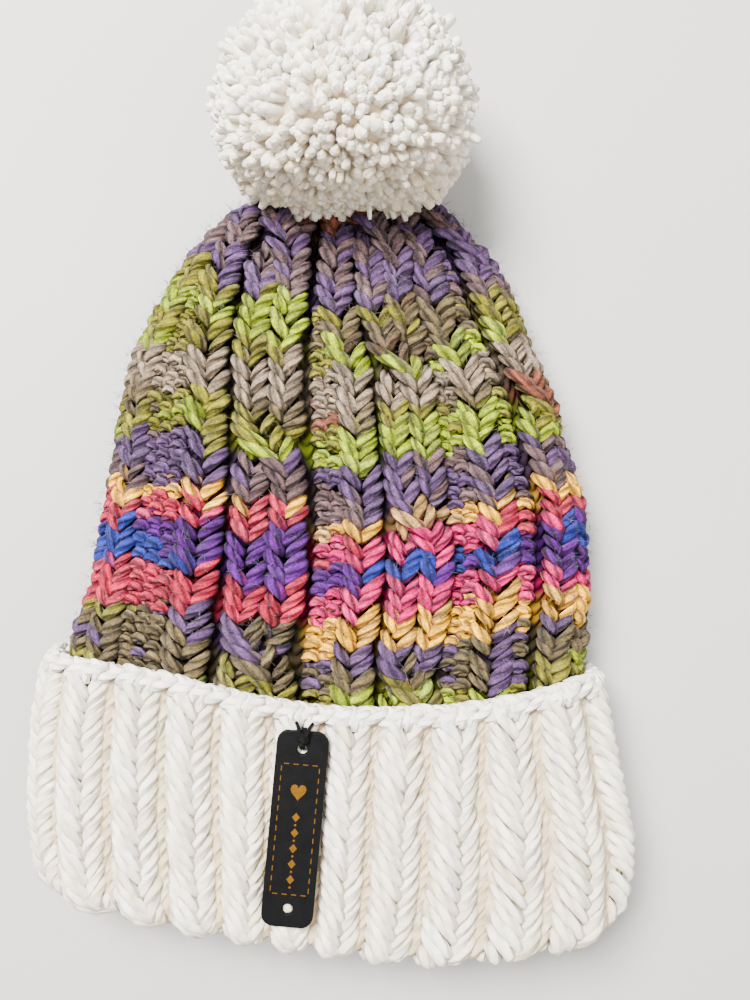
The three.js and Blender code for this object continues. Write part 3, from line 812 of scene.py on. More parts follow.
# The fabric behind the stitches: the same yarn in shade, with faint rows and columns
def backing_knit(name, depth):
    material, tree, shader = new_material(name, 0.95)
    shader.inputs["Specular IOR Level"].default_value = 0.05
    colour = add_node(tree, "ShaderNodeVertexColor", layer_name="yarn_colour")
    place = add_node(tree, "ShaderNodeUVMap", uv_map="strand")
    parts = add_node(tree, "ShaderNodeSeparateXYZ", {0: place.outputs[0]})
    slope = add_node(
        tree, "ShaderNodeMath", {0: parts.outputs[0], 1: math.pi}, operation="MULTIPLY")
    column = add_node(tree, "ShaderNodeMath", {0: slope.outputs[0]}, operation="SINE")
    edge = add_node(tree, "ShaderNodeMath", {0: column.outputs[0]}, operation="ABSOLUTE")
    vee = add_node(
        tree, "ShaderNodeMath", {0: parts.outputs[1], 1: edge.outputs[0]}, operation="SUBTRACT")
    sweep = add_node(
        tree, "ShaderNodeMath", {0: vee.outputs[0], 1: math.pi}, operation="MULTIPLY")
    row = add_node(tree, "ShaderNodeMath", {0: sweep.outputs[0]}, operation="SINE")
    stitch = add_node(tree, "ShaderNodeMath", {0: row.outputs[0]}, operation="ABSOLUTE")
    tone = add_node(
        tree, "ShaderNodeMapRange", {"Value": stitch.outputs[0], "To Min": 0.62, "To Max": 1.0})
    dyed = add_node(
        tree, "ShaderNodeVectorMath", {0: colour.outputs["Color"], "Scale": tone.outputs[0]},
        operation="SCALE")
    tree.links.new(dyed.outputs[0], shader.inputs["Base Color"])
    bump = add_node(
        tree, "ShaderNodeBump", {"Height": stitch.outputs[0], "Strength": 1.0, "Distance": depth})
    tree.links.new(bump.outputs[0], shader.inputs["Normal"])
    return material


# Black leather with a fine pebbled grain, matt in some patches and smoother in others
def grained_leather():
    material, tree, shader = new_material("black_grained_leather", 0.5)
    shader.inputs["Specular IOR Level"].default_value = 0.07
    where = add_node(tree, "ShaderNodeTexCoord")
    cells = add_node(
        tree, "ShaderNodeTexVoronoi", {"Vector": where.outputs["Object"], "Scale": 1000 / grain_size},
        feature="SMOOTH_F1")
    patches = add_node(
        tree, "ShaderNodeTexNoise",
        {"Vector": where.outputs["Object"], "Scale": 1000 / hide_patch, "Detail": 5.0})
    tone = add_node(
        tree, "ShaderNodeValToRGB", {"Fac": patches.outputs[0]})
    tone.color_ramp.elements[0].color = (*linear("030303"), 1)
    tone.color_ramp.elements[1].color = (*linear("0a0a0b"), 1)
    tree.links.new(tone.outputs[0], shader.inputs["Base Color"])
    gloss = add_node(
        tree, "ShaderNodeMapRange", {"Value": patches.outputs[0], "To Min": 0.42, "To Max": 0.6})
    tree.links.new(gloss.outputs[0], shader.inputs["Roughness"])
    bump = add_node(
        tree, "ShaderNodeBump", {"Height": cells.outputs[0], "Strength": 0.6, "Distance": 0.00008})
    tree.links.new(bump.outputs[0], shader.inputs["Normal"])
    return material


# Gold foil pressed into the leather: a warm, rubbed gold that hardly mirrors anything
def pressed_foil():
    material, tree, shader = new_material("gold_pressed_foil", 0.42)
    shader.inputs["Metallic"].default_value = 0.2
    shader.inputs["Specular IOR Level"].default_value = 0.15
    where = add_node(tree, "ShaderNodeTexCoord")
    rubbed = add_node(
        tree, "ShaderNodeTexNoise",
        {"Vector": where.outputs["Object"], "Scale": 1000 / foil_rub, "Detail": 4.0})
    tone = add_node(tree, "ShaderNodeValToRGB", {"Fac": rubbed.outputs[0]})
    tone.color_ramp.elements[0].color = (*linear("3c2500"), 1)
    tone.color_ramp.elements[1].color = (*linear("704a00"), 1)
    tree.links.new(tone.outputs[0], shader.inputs["Base Color"])
    return material


# A plain pale table top
def pale_floor():
    material, tree, shader = new_material("pale_matt_board", 0.8)
    where = add_node(tree, "ShaderNodeTexCoord")
    mottle = add_node(
        tree, "ShaderNodeTexNoise",
        {"Vector": where.outputs["Object"], "Scale": 1000 / floor_mottle, "Detail": 3.0})
    tone = add_node(tree, "ShaderNodeValToRGB", {"Fac": mottle.outputs[0]})
    tone.color_ramp.elements[0].color = (*linear("a3a19d"), 1)
    tone.color_ramp.elements[1].color = (*linear("adaba7"), 1)
    tree.links.new(tone.outputs[0], shader.inputs["Base Color"])
    return material


# Deep painted shade between the plies and at the stitches' tucked ends makes the striped
# yarn look thick, soft and unevenly dyed.
striped_yarn = plied_yarn(
    "striped_plied_acrylic", stitch_strand, shadow=0.36, light=1.45, sheen=0.03,
    depth=0.0012, tucked_shade=0.36)
# White yarn lights up its own hollows, so its painted shade is faint and it looks smoother
# and fuller.
white_yarn = plied_yarn(
    "white_plied_acrylic", stitch_strand, shadow=0.84, light=1.05, sheen=0.1,
    depth=0.0004, tucked_shade=0.86)
# Cut yarn has opened out into fluff, and its plies hardly show.
pompom_yarn = plied_yarn(
    "white_cut_acrylic", 3.0, shadow=0.95, light=1.03, sheen=0.15, depth=0.0002, tucked_shade=0.97)
# Single fibres have no plies, and are pale where light grazes them.
loose_fibre = plied_yarn(
    "loose_acrylic_fibre", 6.0, shadow=0.95, light=1.05, sheen=0.2, depth=0.00005, tucked_shade=1.0)
# Wax holds the thread's fibres down, so it has no sheen.
waxed_thread = plied_yarn(
    "black_waxed_thread", 8.0, shadow=0.6, light=1.1, sheen=0.0, depth=0.0002, tucked_shade=0.8)
# Knitting deeper in the fabric shows only as faint rows and columns between the stitches.
striped_backing = backing_knit("striped_knit_in_shade", 0.0012)
white_backing = backing_knit("white_knit_in_shade", 0.0012)


# A slow wavering value between 0 and 1 over the knitting, to run one dye into the next
def wander(x, y, seed):
    wave = np.sin(x / 11 + seed) + np.sin(y / 4.5 + 1.7 * seed) + np.sin((x + 2 * y) / 7 + 3 * seed)
    return 0.5 + wave / 6


# The height at which a stripe ends at each place across the hat
def stripe_end(stripe, x, z):
    names = list(stripe_places)
    on_left = np.where(x < groove_place, stripe["edge"], stripe["cable"])
    on_right = np.interp(x, [stripe_places[n] for n in names], [stripe[n] for n in names])
    on_front = np.where(x > seam_place, on_right, on_left)
    on_back = np.interp(x, (-75, 75), (stripe["edge"], stripe["d"]))
    return np.where(z < body_thick / 2, on_back, on_front)


# The stripe colour of each stitch, from where it lies on the hat
def stripe_colour(points):
    x = points[:, 0]
    y = points[:, 1] + chance.normal(0, 1.0, len(points))
    right = x > seam_place
    ends = np.array([stripe_end(stripe, x, points[:, 2]) for stripe in stripes])
    band = np.minimum((y[None, :] > ends).sum(axis=0), len(stripes) - 1)
    mixed = wander(x, y, 2.0) + chance.normal(0, 0.07, len(points))
    colours = np.empty((len(points), 3))
    for i, stripe in enumerate(stripes):
        for side, here in (("left", ~right), ("right", right)):
            chosen = (band == i) & here
            dyes = stripe[side]
            pick = np.clip((mixed * len(dyes)).astype(int), 0, len(dyes) - 1)
            for k, dye in enumerate(dyes):
                colours[chosen & (pick == k)] = palette[dye]
        if "cable_dye" in stripe:
            colours[(band == i) & ~right & (x > groove_place)] = palette[stripe["cable_dye"]]
    beside = (band == len(stripes) - 1) & (np.abs(x - gather_place) > gather_reach)
    colours[beside] = palette["purple"]
    grey = colours.mean(axis=1, keepdims=True)
    faded = np.clip(chance.normal(0.03, 0.06, (len(points), 1)), 0, 0.2)
    colours = colours + (grey - colours) * faded
    return colours * np.clip(chance.normal(1.0, 0.17, (len(points), 1)), 0.6, 1.5)


# White yarn with small differences from stitch to stitch, mixed towards a cream tone, a
# painted shade, in the share given for how deep the yarn lies
def white_colour(points, cream_shade, spread=0.035):
    share = np.clip(cream_shade + chance.normal(0, 0.12, len(points)), 0, 1)[:, None]
    colours = palette["white"] * (1 - share) + palette["cream_shade"] * share
    return colours * np.clip(chance.normal(1, spread, (len(points), 1)), 0.85, 1.1)


# Adds each strand's own twist to its colour.
def with_twist(colours):
    return np.concatenate([colours, chance.random((len(colours), 1))], axis=1)


# The middle and width of a column of the body, as shares of the way round. A column that
# ends in a decrease is narrowed away over a short stretch.
def column_place(section, index, at):
    narrowing = 0.06
    wide = []
    for column in section["columns"]:
        until = column["until"]
        wide.append(column["wide"] * (1 - smooth(at, until - narrowing, until)))
    wide = np.array(wide)
    share = wide / wide.sum(axis=0)
    left = np.cumsum(share, axis=0) - share
    span = section["end"] - section["start"]
    return section["start"] + span * (left[index] + share[index] / 2), span * share[index]


# Relief fades in under the cuff and out at the gather, where the knitting is pleated.
def relief(at):
    under_cuff = 0.12
    pleated = 0.9
    end = 1 - smooth(at, 0.93, 1)
    start = under_cuff + (1 - under_cuff) * smooth(at, 0.08, 0.2)
    return end * start * (1 + pleated * smooth(at, 0.78, 0.95))


# Where one of a cable's two stitch columns runs: its place across the cable, its height, and
# its width. Each crossing swaps the two, and the one that moves left passes in front.
def cable_run(column, stitch, at):
    height = along(body_rings, "up", at) * body_length
    crossed = sum(smooth((height - c) / crossing_length + 0.5, 0, 1) for c in column["crossings"])
    side = -1 if stitch < 1 else 1
    across = 0.5 + side * 0.25 * np.cos(math.pi * crossed)
    over = side * column.get("bulge", cable_bulge) * np.sin(math.pi * crossed)
    dome = cable_dome * (1 - (1.3 * (across - 0.5)) ** 2)
    spread = 0.5 + 0.16 * np.abs(np.sin(math.pi * crossed))
    return across, dome + over - cable_sink, spread


# The paths of one column's yarn on the body. lift: how a plain column lies, in millimetres
def column_paths(section, index, shape, mirror, stitch, stations):
    column = section["columns"][index]
    up = np.array([p["up"] for p in shape])
    across = np.array([p["across"] for p in shape]) * mirror
    rise = np.array([p["rise"] for p in shape])
    at = stations[:, None] + up[None, :] * row_share
    middle, width = column_place(section, index, at)
    lift = {"knit": -0.8, "purl": -1.5, "cable": 0}[column["kind"]]
    if column["kind"] == "cable":
        place, lift, spread = cable_run(column, stitch, at)
        middle = middle + (place - 0.5) * width
        width = width * spread
    one_each = (len(stations), 1)
    turn = middle + (across[None, :] + chance.normal(0, uneven_across, one_each)) * width
    loose = chance.normal(0, uneven_height, one_each)
    height = lift * relief(at) + rise[None, :] * yarn_radius + loose
    at = at + chance.normal(0, uneven_up, one_each) * row_share

    def surface(u, v):
        return body_point(u, v, 0, height)

    clear_of_pompom = 0.6
    paths = pressed(surface(turn, at), clear_of_pompom)
    return paths, facing(surface, turn, at)


# The paths of all the yarn in the columns of the given kinds
def body_yarn(sections, kinds):
    first_row = 0.03
    last_row = 0.965
    found = []
    stations = np.arange(first_row, last_row, row_share)
    for section in sections:
        for index, column in enumerate(section["columns"]):
            if column["kind"] not in kinds:
                continue
            here = stations[stations < column["until"] - 0.02]
            here = here + column.get("shift", 0) * row_share
            if column["kind"] == "cable":
                runs = [(knit_leg, m, s) for s in range(2) for m in (-1, 1)]
            elif column["kind"] == "knit":
                runs = [(knit_leg, -1, 0), (knit_leg, 1, 0)]
            else:
                runs = [(purl_bump, 1, 0), (purl_dip, 1, 0)]
            for shape, mirror, stitch in runs:
                found.append(column_paths(section, index, shape, mirror, stitch, here))
    return (np.concatenate([f[i] for f in found]) for i in (0, 1))


# Lays the body's yarn as one piece for each stretch, so that none is too heavy.
def make_body_yarn():
    pieces = []
    runs = (
        ("body_left_knit", body_sections[:1], ("knit", "cable"), 8),
        ("body_right_knit", body_sections[1:2], ("knit", "cable"), 8),
        ("body_purl", body_sections, ("purl",), 7),
        ("body_back_knit", body_sections[2:], ("knit", "cable"), 6),
    )
    for name, sections, kinds, sides in runs:
        paths, facings = body_yarn(sections, kinds)
        thick = purl_radius if "purl" in kinds else yarn_radius
        radii = thick * np.clip(chance.normal(1, 0.12, len(paths)), 0.75, 1.3)
        colours = with_twist(stripe_colour(paths[:, 2]))
        pieces.append(lay_yarn(
            name, paths, facings, radii, colours, striped_yarn, sides=sides))
    return pieces


# A closed skin from a flat grid of around by over faces: one way is wrapped round the hat,
# the other goes over the wall. place gives the points for the shares of both ways, and the
# seam and poles are merged. columns and rows: of stitches, for the material
def wrapped_skin(name, around, over, place, colour, material, columns, rows):
    bm = bmesh.new()
    bmesh.ops.create_grid(bm, x_segments=around, y_segments=over, size=0.5, calc_uvs=False)
    uv = bm.loops.layers.uv.new("strand")
    for face in bm.faces:
        for item in face.loops:
            co = item.vert.co
            item[uv].uv = ((co.x + 0.5) * columns, (co.y + 0.5) * rows)
    bm.verts.ensure_lookup_table()
    grid = np.array([v.co[:2] for v in bm.verts]) + 0.5
    points = placed(place(grid[:, 0], grid[:, 1]))
    for vert, point in zip(bm.verts, points):
        vert.co = point
    bmesh.ops.remove_doubles(bm, verts=bm.verts[:], dist=1e-6)
    bmesh.ops.dissolve_degenerate(bm, edges=bm.edges[:], dist=1e-7)
    bmesh.ops.recalc_face_normals(bm, faces=bm.faces[:])
    mesh = bpy.data.meshes.new(name)
    bm.to_mesh(mesh)
    bm.free()
    flat = np.empty(len(mesh.vertices) * 3)
    mesh.vertices.foreach_get("co", flat)
    local = flat.reshape(-1, 3) * 1000 - np.array([centre_line, lower_edge, 0])
    paint(mesh, np.concatenate([colour(local), np.ones((len(local), 1))], axis=1))
    return add_piece(name, mesh, material)


# The body's fabric behind the stitches, outside and inside, closed at the gather
def make_body_backing():
    outer_share = 0.55
    inner_end = 0.9
    behind = 3.1
    pole = 1e-4
    in_shade = 0.2

    def place(turn, over):
        outside = over < outer_share
        outer_at = 1 - over / outer_share
        inner_at = inner_end * (over - outer_share) / (1 - outer_share)
        at = np.where(outside, outer_at, inner_at)
        sink = behind * np.clip(at / 0.06, 0, 1)
        points = body_point(turn, at, np.where(outside, sink, body_wall), 0)
        points = pressed(points, np.where(outside, 1.2, 1.2 + body_wall)[:, None])
        closed = points.copy()
        for end in (over < pole, over > 1 - pole):
            closed[end] = points[end].mean(axis=0)
        tips = (over < pole) | (over > 1 - pole)
        return np.where(tips[:, None], closed, points)

    def colour(points):
        return stripe_colour(points) * in_shade

    return wrapped_skin(
        "body_backing", 150, 90, place, colour, striped_backing, 48, 90)


# Height of the ribs at a place across one rib, highest at 0 and lowest half a rib away
def rib_shape(across):
    offset = 0.32
    return rib_height * (offset + (1 - offset) * np.cos(2 * math.pi * across))


# The paths of the cuff's yarn: shape over each rib, for the given rows. ways: shares of the
# way over the outer face, the fold and the inner face. The ribs flatten towards the fold,
# and there their relief points down and then inwards.
def cuff_paths(shape, ways):
    rib_sink = 1.5
    flattening = 0.4
    level = 0.75
    ribs = (np.arange(rib_count) + 0.5) / rib_count
    across = np.array([p["across"] for p in shape])
    up = np.array([p["up"] for p in shape])
    rise = np.array([p["rise"] for p in shape])
    rib, way = (v.ravel()[:, None] for v in np.meshgrid(ribs, ways))
    way = way - up[None, :] * cuff_row
    across = across[None, :] + chance.normal(0, 0.02, rib.shape)
    start = rib + across / rib_count
    height = rib_shape(across) - rib_sink + rise[None, :] * yarn_radius
    height = height * (1 - flattening * smooth(way, 0.86, 0.98))

    def surface(u, v):
        down, deep = fold_over(v)
        out = height * np.cos(math.pi * np.clip(deep / cuff_layers, 0, 1))
        points = cuff_point(leaning(u, down), down, deep, out)
        middle = cuff_point(leaning(rib + 0 * u, down), down, deep, out)
        points[..., 1] = points[..., 1] * (1 - level) + middle[..., 1] * level
        return points

    points = surface(start, way)
    down, deep = fold_over(way)
    points[..., 1] -= np.sin(math.pi * deep / cuff_layers) * height
    return points, -facing(surface, start, way)


# The cuff's stitches, a little thicker where the rows fan out round the fold
def make_cuff_yarn():
    inner_end = 1.75
    fold_reach = 0.08
    thicker = 0.22
    pieces = []
    outer = np.arange(1.1 * cuff_row, 1.0, cuff_row)
    inner = np.arange(outer[-1] + cuff_row, inner_end, cuff_row)
    # Each run's share of cream, a painted shade, is largest in the valleys between the ribs and on the
    # inner face, and larger on the ribs' sides than on their fronts
    runs = (
        {"name": "cuff_broad_legs", "shape": broad_leg, "ways": outer, "sides": 8, "cream_shade": 0.3},
        {"name": "cuff_side_legs", "shape": side_leg, "ways": outer, "sides": 7, "cream_shade": 0.38},
        {"name": "cuff_valleys", "shape": valley_bump, "ways": outer, "sides": 6, "cream_shade": 0.95},
        {"name": "cuff_inner_broad", "shape": broad_leg, "ways": inner, "sides": 6, "cream_shade": 0.4},
        {"name": "cuff_inner_side", "shape": side_leg, "ways": inner, "sides": 6, "cream_shade": 0.5},
    )
    for run in runs:
        paths, facings = cuff_paths(run["shape"], run["ways"])
        at_fold = np.exp(-((run["ways"] - 1) / fold_reach) ** 2)
        radii = cuff_radius * np.repeat(1 + thicker * at_fold, rib_count)
        radii *= np.clip(chance.normal(1, 0.07, len(paths)), 0.82, 1.18)
        colours = with_twist(white_colour(paths[:, 2], run["cream_shade"]))
        pieces.append(lay_yarn(
            run["name"], paths, facings, radii, colours, white_yarn,
            sides=run["sides"]))
    return pieces


# The bound-off edge: three chains of slanting loops lying along the cuff's lip, over the
# loops that carry the ribs across it. deep: under the outer face; slant and down: shares of
# the cuff's depth; across: shares of a rib
def make_cuff_edge():
    found = []
    count = 3 * rib_count
    turns = np.arange(count) / count
    chains = (
        {"deep": 0.25, "slant": (0.030, 0.016, 0.002, -0.014, -0.026)},
        {"deep": cuff_wall * 0.4, "slant": (-0.026, -0.03, -0.026, -0.02, -0.008)},
        {"deep": cuff_wall * 0.8, "slant": (0.02, 0.004, -0.010, -0.016, -0.016)},
    )
    places = np.array([-0.7, -0.35, 0.0, 0.35, 0.7])
    rise = np.array([-0.5, 0.45, 0.7, 0.45, -0.5])
    for chain in chains:
        turn = turns[:, None] + places[None, :] / count
        down = np.array(chain["slant"])[None, :] + chance.normal(0, 0.003, (count, 1))
        points = cuff_point(turn, down, chain["deep"] - rise[None, :], 0)
        out = np.zeros_like(points)
        out[..., 1] = 0.5
        out[..., 2] = np.where(np.mod(turn, 1) < 0.5, 1.0, -1.0)
        found.append((points, out))
    over_lip = np.array([0.05, -0.005, -0.028, -0.005, 0.05])
    into_wall = np.array([0.0, 0.0, 0.5, 1.0, 1.0]) * (cuff_wall - 0.4) + 0.2
    for across in (-0.24, -0.08, 0.1, 0.26):
        turn = (np.arange(rib_count) + 0.5 + across)[:, None] / rib_count + 0 * places[None, :]
        down = over_lip[None, :] + 0 * turn
        points = cuff_point(turn, down, into_wall[None, :] - rib_shape(across) * 0.4, 0)
        out = np.zeros_like(points)
        out[..., 1] = 1.0
        out[..., 2] = 0.3
        found.append((points, out))
    paths, facings = (np.concatenate([f[i] for f in found]) for i in (0, 1))
    radii = edge_radius * np.clip(chance.normal(1, 0.07, len(paths)), 0.82, 1.18)
    colours = with_twist(white_colour(paths[:, 2], 0.05))
    return lay_yarn("cuff_bound_edge", paths, facings, radii, colours, white_yarn)


# The cuff's fabric behind the stitches, once round its doubled wall.
# profile: how far down the cuff, and how deep under its outer face
def make_cuff_backing():
    behind = 1.9
    inner = cuff_layers - 0.6
    slit = cuff_wall + cuff_slit
    profile = [
        (0.0, behind), (0.3, behind), (0.6, behind), (0.85, behind), (0.94, behind + 0.8),
        (0.965, cuff_layers / 2), (0.94, cuff_layers - behind - 0.8),
        (0.85, inner), (0.6, inner), (0.3, inner), (0.12, inner),
        (0.12, slit + 0.4), (0.3, slit), (0.6, slit), (0.9, slit),
        (0.9, cuff_wall), (0.6, cuff_wall), (0.3, cuff_wall), (0.1, cuff_wall), (0.0, cuff_wall),
        (0.0, behind),
    ]
    places = np.linspace(0, 1, len(profile))

    def place(turn, over):
        down = np.interp(over, places, [p[0] for p in profile])
        deep = np.interp(over, places, [p[1] for p in profile])
        rib = np.where(deep <= behind + 0.01, rib_shape(turn * rib_count - 0.5) * 0.6, 0)
        return cuff_point(leaning(turn, down), down, deep, rib)

    # Painted shade: the fabric behind the stitches is creamy and a little darker
    def colour(points):
        return white_colour(points, 0.75, 0.02) * 0.95

    return wrapped_skin(
        "cuff_backing", 192, 80, place, colour, white_backing, 48, 40)


# Directions spread evenly over a ball, shaken a little
def ball_aims(count, shake):
    up = 1 - 2 * (np.arange(count) + 0.5) / count
    flat = np.sqrt(1 - up * up)
    spin = math.pi * (3 - math.sqrt(5)) * np.arange(count)
    aims = np.stack([flat * np.cos(spin), flat * np.sin(spin), up], axis=1)
    aims += chance.normal(0, shake, aims.shape)
    return aims / np.linalg.norm(aims, axis=1, keepdims=True)


# The pompom: cut yarn standing out of its middle, each end bent its own way
def make_pompom():
    aims = ball_aims(tuft_count, 0.02)
    reach = ball_reach(aims) * (1 + chance.normal(-0.02, 0.028, len(aims)))
    lean = chance.normal(0, 1, aims.shape)
    lean -= (lean * aims).sum(axis=1, keepdims=True) * aims
    paths = []
    for share in (tuft_root, 0.78, 0.9, 0.97, 1.0):
        bent = lean * tuft_bend * ((share - tuft_root) / (1 - tuft_root)) ** 1.5
        paths.append(pompom_middle + aims * (reach * share)[:, None] + bent)
    paths = np.stack(paths, axis=1)
    facings = np.broadcast_to(lean[:, None, :], paths.shape)
    radii = tuft_radius * np.clip(chance.normal(1, 0.16, len(aims)), 0.65, 1.5)
    # Painted shade: the tufts that face the hat get more cream
    low = smooth(-aims[:, 1], -0.2, 0.9)
    colours = with_twist(white_colour(paths[:, 4], 0.08 + 0.6 * low, 0.07))
    return lay_yarn(
        "pompom_tufts", paths, facings, radii, colours, pompom_yarn,
        sides=6, rings=5, ends=0.64)


# A few yarn ends hang past the others where the pompom was tied on.
def make_pompom_ends():
    spin = chance.uniform(1.15 * math.pi, 1.85 * math.pi, loose_end_count)
    height = chance.uniform(-0.2, 0.75, loose_end_count)
    flat = np.sqrt(1 - height**2)
    aims = np.stack([flat * np.cos(spin) * 0.8, flat * np.sin(spin), height], axis=1)
    aims /= np.linalg.norm(aims, axis=1, keepdims=True)
    reach = ball_reach(aims)
    lean = chance.normal(0, 1, aims.shape)
    paths = []
    for share in (0.8, 0.88, 0.95, 1.0, 1.04):
        bent = lean * 2.0 * (share - 0.8) / 0.3
        paths.append(pompom_middle + aims * (reach * share)[:, None] + bent)
    paths = np.stack(paths, axis=1)
    facings = np.broadcast_to(lean[:, None, :], paths.shape)
    radii = chance.uniform(0.6, 0.9, loose_end_count)
    colours = with_twist(white_colour(paths[:, 4], 0.2))
    return lay_yarn(
        "pompom_loose_ends", paths, facings, radii, colours, pompom_yarn,
        sides=6, rings=6, ends=0.6)


# The middle of the pompom, which shows only between the cut ends
def make_pompom_core():
    bm = bmesh.new()
    bmesh.ops.create_icosphere(bm, subdivisions=4, radius=1)
    aims = np.array([v.co[:] for v in bm.verts])
    points = placed(pompom_middle + aims * (ball_reach(aims) * 0.88)[:, None])
    for vert, point in zip(bm.verts, points):
        vert.co = point
    uv = bm.loops.layers.uv.new("strand")
    for face in bm.faces:
        for loop in face.loops:
            loop[uv].uv = (0.5, 0.5)
    mesh = bpy.data.meshes.new("pompom_core")
    bm.to_mesh(mesh)
    bm.free()
    # Painted shade: the middle, deep among the cut ends, is creamy
    paint(mesh, np.concatenate([white_colour(points, 0.8), np.ones((len(points), 1))], axis=1))
    return add_piece("pompom_core", mesh, pompom_yarn)


# Loose fibres that stand off the body's yarn and soften its outline
def make_fuzz(paths, facings, colours):
    pick = chance.integers(0, len(paths), fuzz_count)
    root = paths[pick, 2] + facings[pick, 2] * yarn_radius * 0.8
    drift = chance.normal(0, 1, (fuzz_count, 3))
    away = facings[pick, 2] * 0.9 + drift * 0.8
    curl = chance.normal(0, 1, (fuzz_count, 3))
    size = chance.uniform(0.4, 1.0, (fuzz_count, 1)) * fuzz_length
    stations = []
    for share in (0, 0.3, 0.6, 1.0):
        stations.append(root + away * size * share + curl * size * 0.8 * share * share)
    lines = np.stack(stations, axis=1)
    up = np.broadcast_to(curl[:, None, :], lines.shape)
    tint = colours[pick].copy()
    tint[:, :3] = tint[:, :3] * 0.9 + 0.05
    return lay_yarn(
        "body_fuzz", lines, up, np.full(fuzz_count, fuzz_radius), tint, loose_fibre,
        sides=3, rings=4, ends=0.5)


# Where the label lies: its own middle and tilt, on the ribs' crests
label_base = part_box("leather_label")[0][2] * 1000
label_middle = (label_aside + centre_line, cuff_lap - label_drop + lower_edge)


# Places things on the label from millimetres along and across it and over its back
def on_label(x, y, z):
    spun = Matrix.Rotation(label_tilt, 4, "Z")
    moved = Matrix.Translation(Vector((label_middle[0], label_middle[1], label_base)) / 1000)
    return moved @ spun @ Matrix.Translation(Vector((x, y, z)) / 1000)


# Turns a finished bmesh to a piece with flat faces.
def finish_mesh(name, bm, material):
    mesh = bpy.data.meshes.new(name)
    bm.to_mesh(mesh)
    bm.free()
    piece = add_piece(name, mesh, material)
    mesh.shade_flat()
    return piece


# The label's leather: the plain strip with its holes, with every edge eased
def make_label(leather):
    bm = bmesh.new()
    bm.from_mesh(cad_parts["leather_label"].data)
    bmesh.ops.remove_doubles(bm, verts=bm.verts[:], dist=1e-6)
    bmesh.ops.dissolve_limit(
        bm, angle_limit=math.radians(2), verts=bm.verts[:], edges=bm.edges[:])
    rims = [e for e in bm.edges if len(e.link_faces) == 2 and e.calc_face_angle() > 1]
    bmesh.ops.bevel(
        bm, geom=rims, offset=label_round / 1000, affect="EDGES", segments=3, profile=0.5,
        material=-1)
    return finish_mesh("label_leather", bm, leather)


# Gold dashes round the label, like a line of stitching
def make_label_border(foil):
    bm = bmesh.new()
    side = label_width / 2 - border_inset
    upright = (foil_line, dash_length, foil_thick)
    level = (dash_length, foil_line, foil_thick)
    dashes = []
    steps = int(2 * border_reach / dash_pitch)
    for k in range(steps):
        y = -border_reach + (k + 0.5) * 2 * border_reach / steps
        dashes += [(-side, y, upright), (side, y, upright)]
    steps = int(2 * side / dash_pitch)
    for k in range(steps):
        x = -side + (k + 0.5) * 2 * side / steps
        dashes += [(x, -border_reach, level), (x, border_reach, level)]
    for x, y, size in dashes:
        sized = Matrix.Diagonal((*(Vector(size) / 1000), 1))
        bmesh.ops.create_cube(bm, size=1, matrix=on_label(x, y, label_thick) @ sized)
    return finish_mesh("label_border", bm, foil)


# A small heart, and a generic row of lozenges and dots below it
def make_label_marks(foil):
    heart_width = 0.145
    heart_height = 0.17
    heart_place = 11.2
    first_lozenge = 3.6
    lozenge = (1.15, 1.35)
    bm = bmesh.new()
    rim = bmesh.ops.create_circle(bm, cap_ends=True, segments=36, radius=1)["verts"]
    for vert in rim:
        t = math.atan2(vert.co.y, vert.co.x)
        x = 16 * math.sin(t) ** 3
        y = 13 * math.cos(t) - 5 * math.cos(2 * t) - 2 * math.cos(3 * t) - math.cos(4 * t)
        vert.co = Vector((x * heart_width, y * heart_height + heart_place, label_thick)) / 1000
    for k in range(lozenge_count):
        y = first_lozenge - lozenge_pitch * k
        rim = bmesh.ops.create_circle(bm, cap_ends=True, segments=4, radius=1)["verts"]
        for vert in rim:
            spot = Vector((vert.co.x * lozenge[0], y + vert.co.y * lozenge[1], label_thick))
            vert.co = spot / 1000
        rim = bmesh.ops.create_circle(bm, cap_ends=True, segments=10, radius=dot_radius)["verts"]
        for vert in rim:
            vert.co = Vector((vert.co.x, y - lozenge_pitch / 2 + vert.co.y, label_thick)) / 1000
    raised = bmesh.ops.extrude_face_region(bm, geom=bm.faces[:])
    verts = [v for v in raised["geom"] if isinstance(v, bmesh.types.BMVert)]
    bmesh.ops.translate(bm, verts=verts, vec=(0, 0, foil_thick / 2000))
    bmesh.ops.recalc_face_normals(bm, faces=bm.faces[:])
    bmesh.ops.transform(bm, verts=bm.verts[:], matrix=on_label(0, 0, 0))
    return finish_mesh("label_marks", bm, foil)


# The thread up through the hole and over the label's end, with its knot and cut ends
def make_tie():
    end = label_length / 2
    hole = end - label_hole_inset
    over = label_thick + 0.6
    routes = []
    for side in (-0.4, 0.4):
        routes.append([(side, hole, 0.4), (side, hole + 1.2, over), (side, hole + 3, over + 0.3),
                       (side, end - 0.4, over), (side, end + 0.6, 0.4)])
    for k in range(3):
        y = end - 2.4 + 0.75 * k
        routes.append([(-1.5, y, over), (-0.8, y + 0.3, over + 0.9), (0, y, over + 1.3),
                       (0.8, y - 0.3, over + 0.9), (1.5, y, over)])
    for side in (-1, 1):
        routes.append([(0.3 * side, end - 1.4, over + 1), (side, end - 0.3, over + 1.2),
                       (1.5 * side, end + 1, over + 1), (2.0 * side, end + 2, over + 0.4),
                       (2.6 * side, end + 2.8, over)])
    local = np.array(routes, dtype=float)
    spin = np.array([[math.cos(label_tilt), -math.sin(label_tilt)],
                     [math.sin(label_tilt), math.cos(label_tilt)]])
    paths = local.copy()
    paths[..., :2] = local[..., :2] @ spin.T + np.array([label_aside, cuff_lap - label_drop])
    paths[..., 2] += label_base
    facings = np.zeros_like(paths)
    facings[..., 2] = 1
    facings[..., 0] = 0.1
    colours = with_twist(np.tile(palette["black"], (len(paths), 1)))
    return lay_yarn(
        "tie_thread", paths, facings, np.full(len(paths), thread_radius), colours,
        waxed_thread, sides=8, rings=9, ends=0.9)


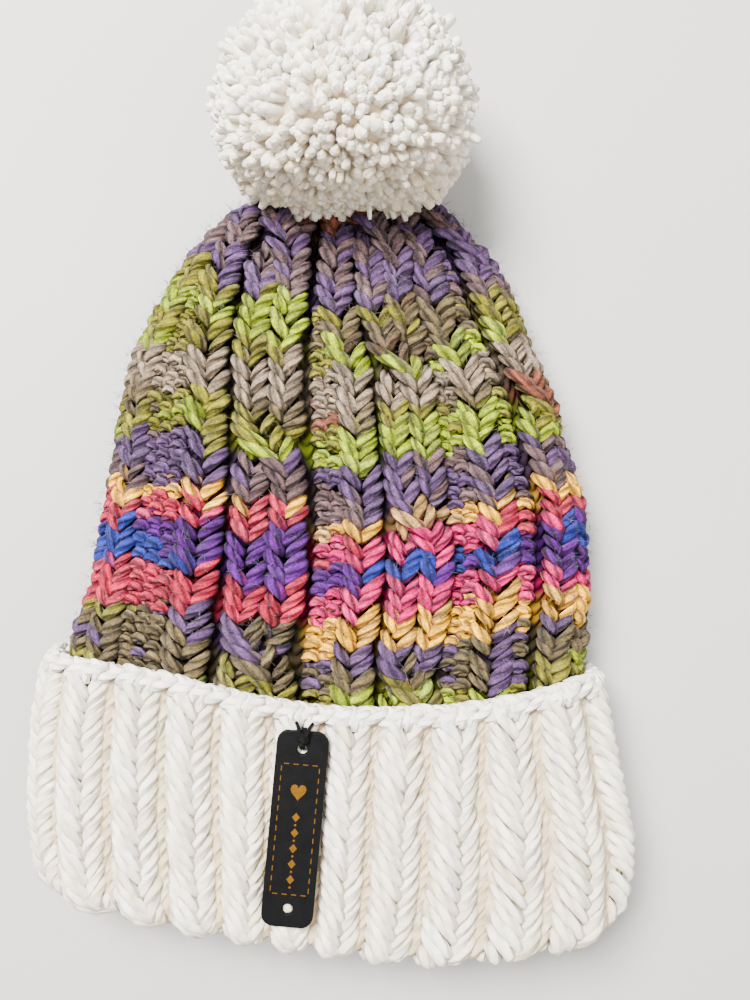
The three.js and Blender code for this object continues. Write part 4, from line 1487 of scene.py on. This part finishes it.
# A soft light panel that faces the hat
def add_light(name, place, size, power):
    lamp = bpy.data.lights.new(name, "AREA")
    lamp.size = size
    lamp.energy = power
    light = bpy.data.objects.new(name, lamp)
    light.location = place
    light.rotation_euler = (-Vector(place)).to_track_quat("-Z", "Y").to_euler()
    bpy.context.scene.collection.objects.link(light)


# A plain floor, a light panel at the upper left, and weaker ones to fill the shade
def make_studio():
    floor_reach = 1.5
    bm = bmesh.new()
    bmesh.ops.create_grid(bm, x_segments=1, y_segments=1, size=floor_reach)
    mesh = bpy.data.meshes.new("floor")
    bm.to_mesh(mesh)
    bm.free()
    floor = bpy.data.objects.new("floor", mesh)
    mesh.materials.append(pale_floor())
    bpy.context.scene.collection.objects.link(floor)
    for panel in light_panels:
        add_light(panel["name"], panel["place"], panel["size"], panel["power"])
    world = bpy.data.worlds.new("studio")
    world.use_nodes = True
    background = world.node_tree.nodes["Background"]
    background.inputs["Color"].default_value = daylight
    background.inputs["Strength"].default_value = daylight_strength
    bpy.context.scene.world = world


# A camera that looks straight down, with the photo's lens
def make_camera():
    lens = bpy.data.cameras.new("camera")
    lens.sensor_fit = "VERTICAL"
    lens.sensor_height = sensor_height
    lens.lens = sensor_height * focal_pixels / image_height
    lens.clip_start = 0.01
    camera = bpy.data.objects.new("camera", lens)
    camera.location = (camera_over[0] / 1000, camera_over[1] / 1000, camera_height / 1000)
    bpy.context.scene.collection.objects.link(camera)
    bpy.context.scene.camera = camera


make_camera()
make_studio()

body_backing = make_body_backing()
body_pieces = make_body_yarn()
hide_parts("hat_body")

cuff_backing = make_cuff_backing()
cuff_pieces = make_cuff_yarn()
cuff_edge = make_cuff_edge()
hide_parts("cuff")

pompom_core = make_pompom_core()
make_pompom()
make_pompom_ends()
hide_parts("pompom")

label = make_label(grained_leather())
foil = pressed_foil()
make_label_border(foil)
make_label_marks(foil)
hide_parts("leather_label")
tie = make_tie()
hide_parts("label_tie")

fuzz_paths, fuzz_facings = body_yarn(body_sections[:2], ("knit", "cable"))
make_fuzz(fuzz_paths, fuzz_facings, with_twist(stripe_colour(fuzz_paths[:, 2])))
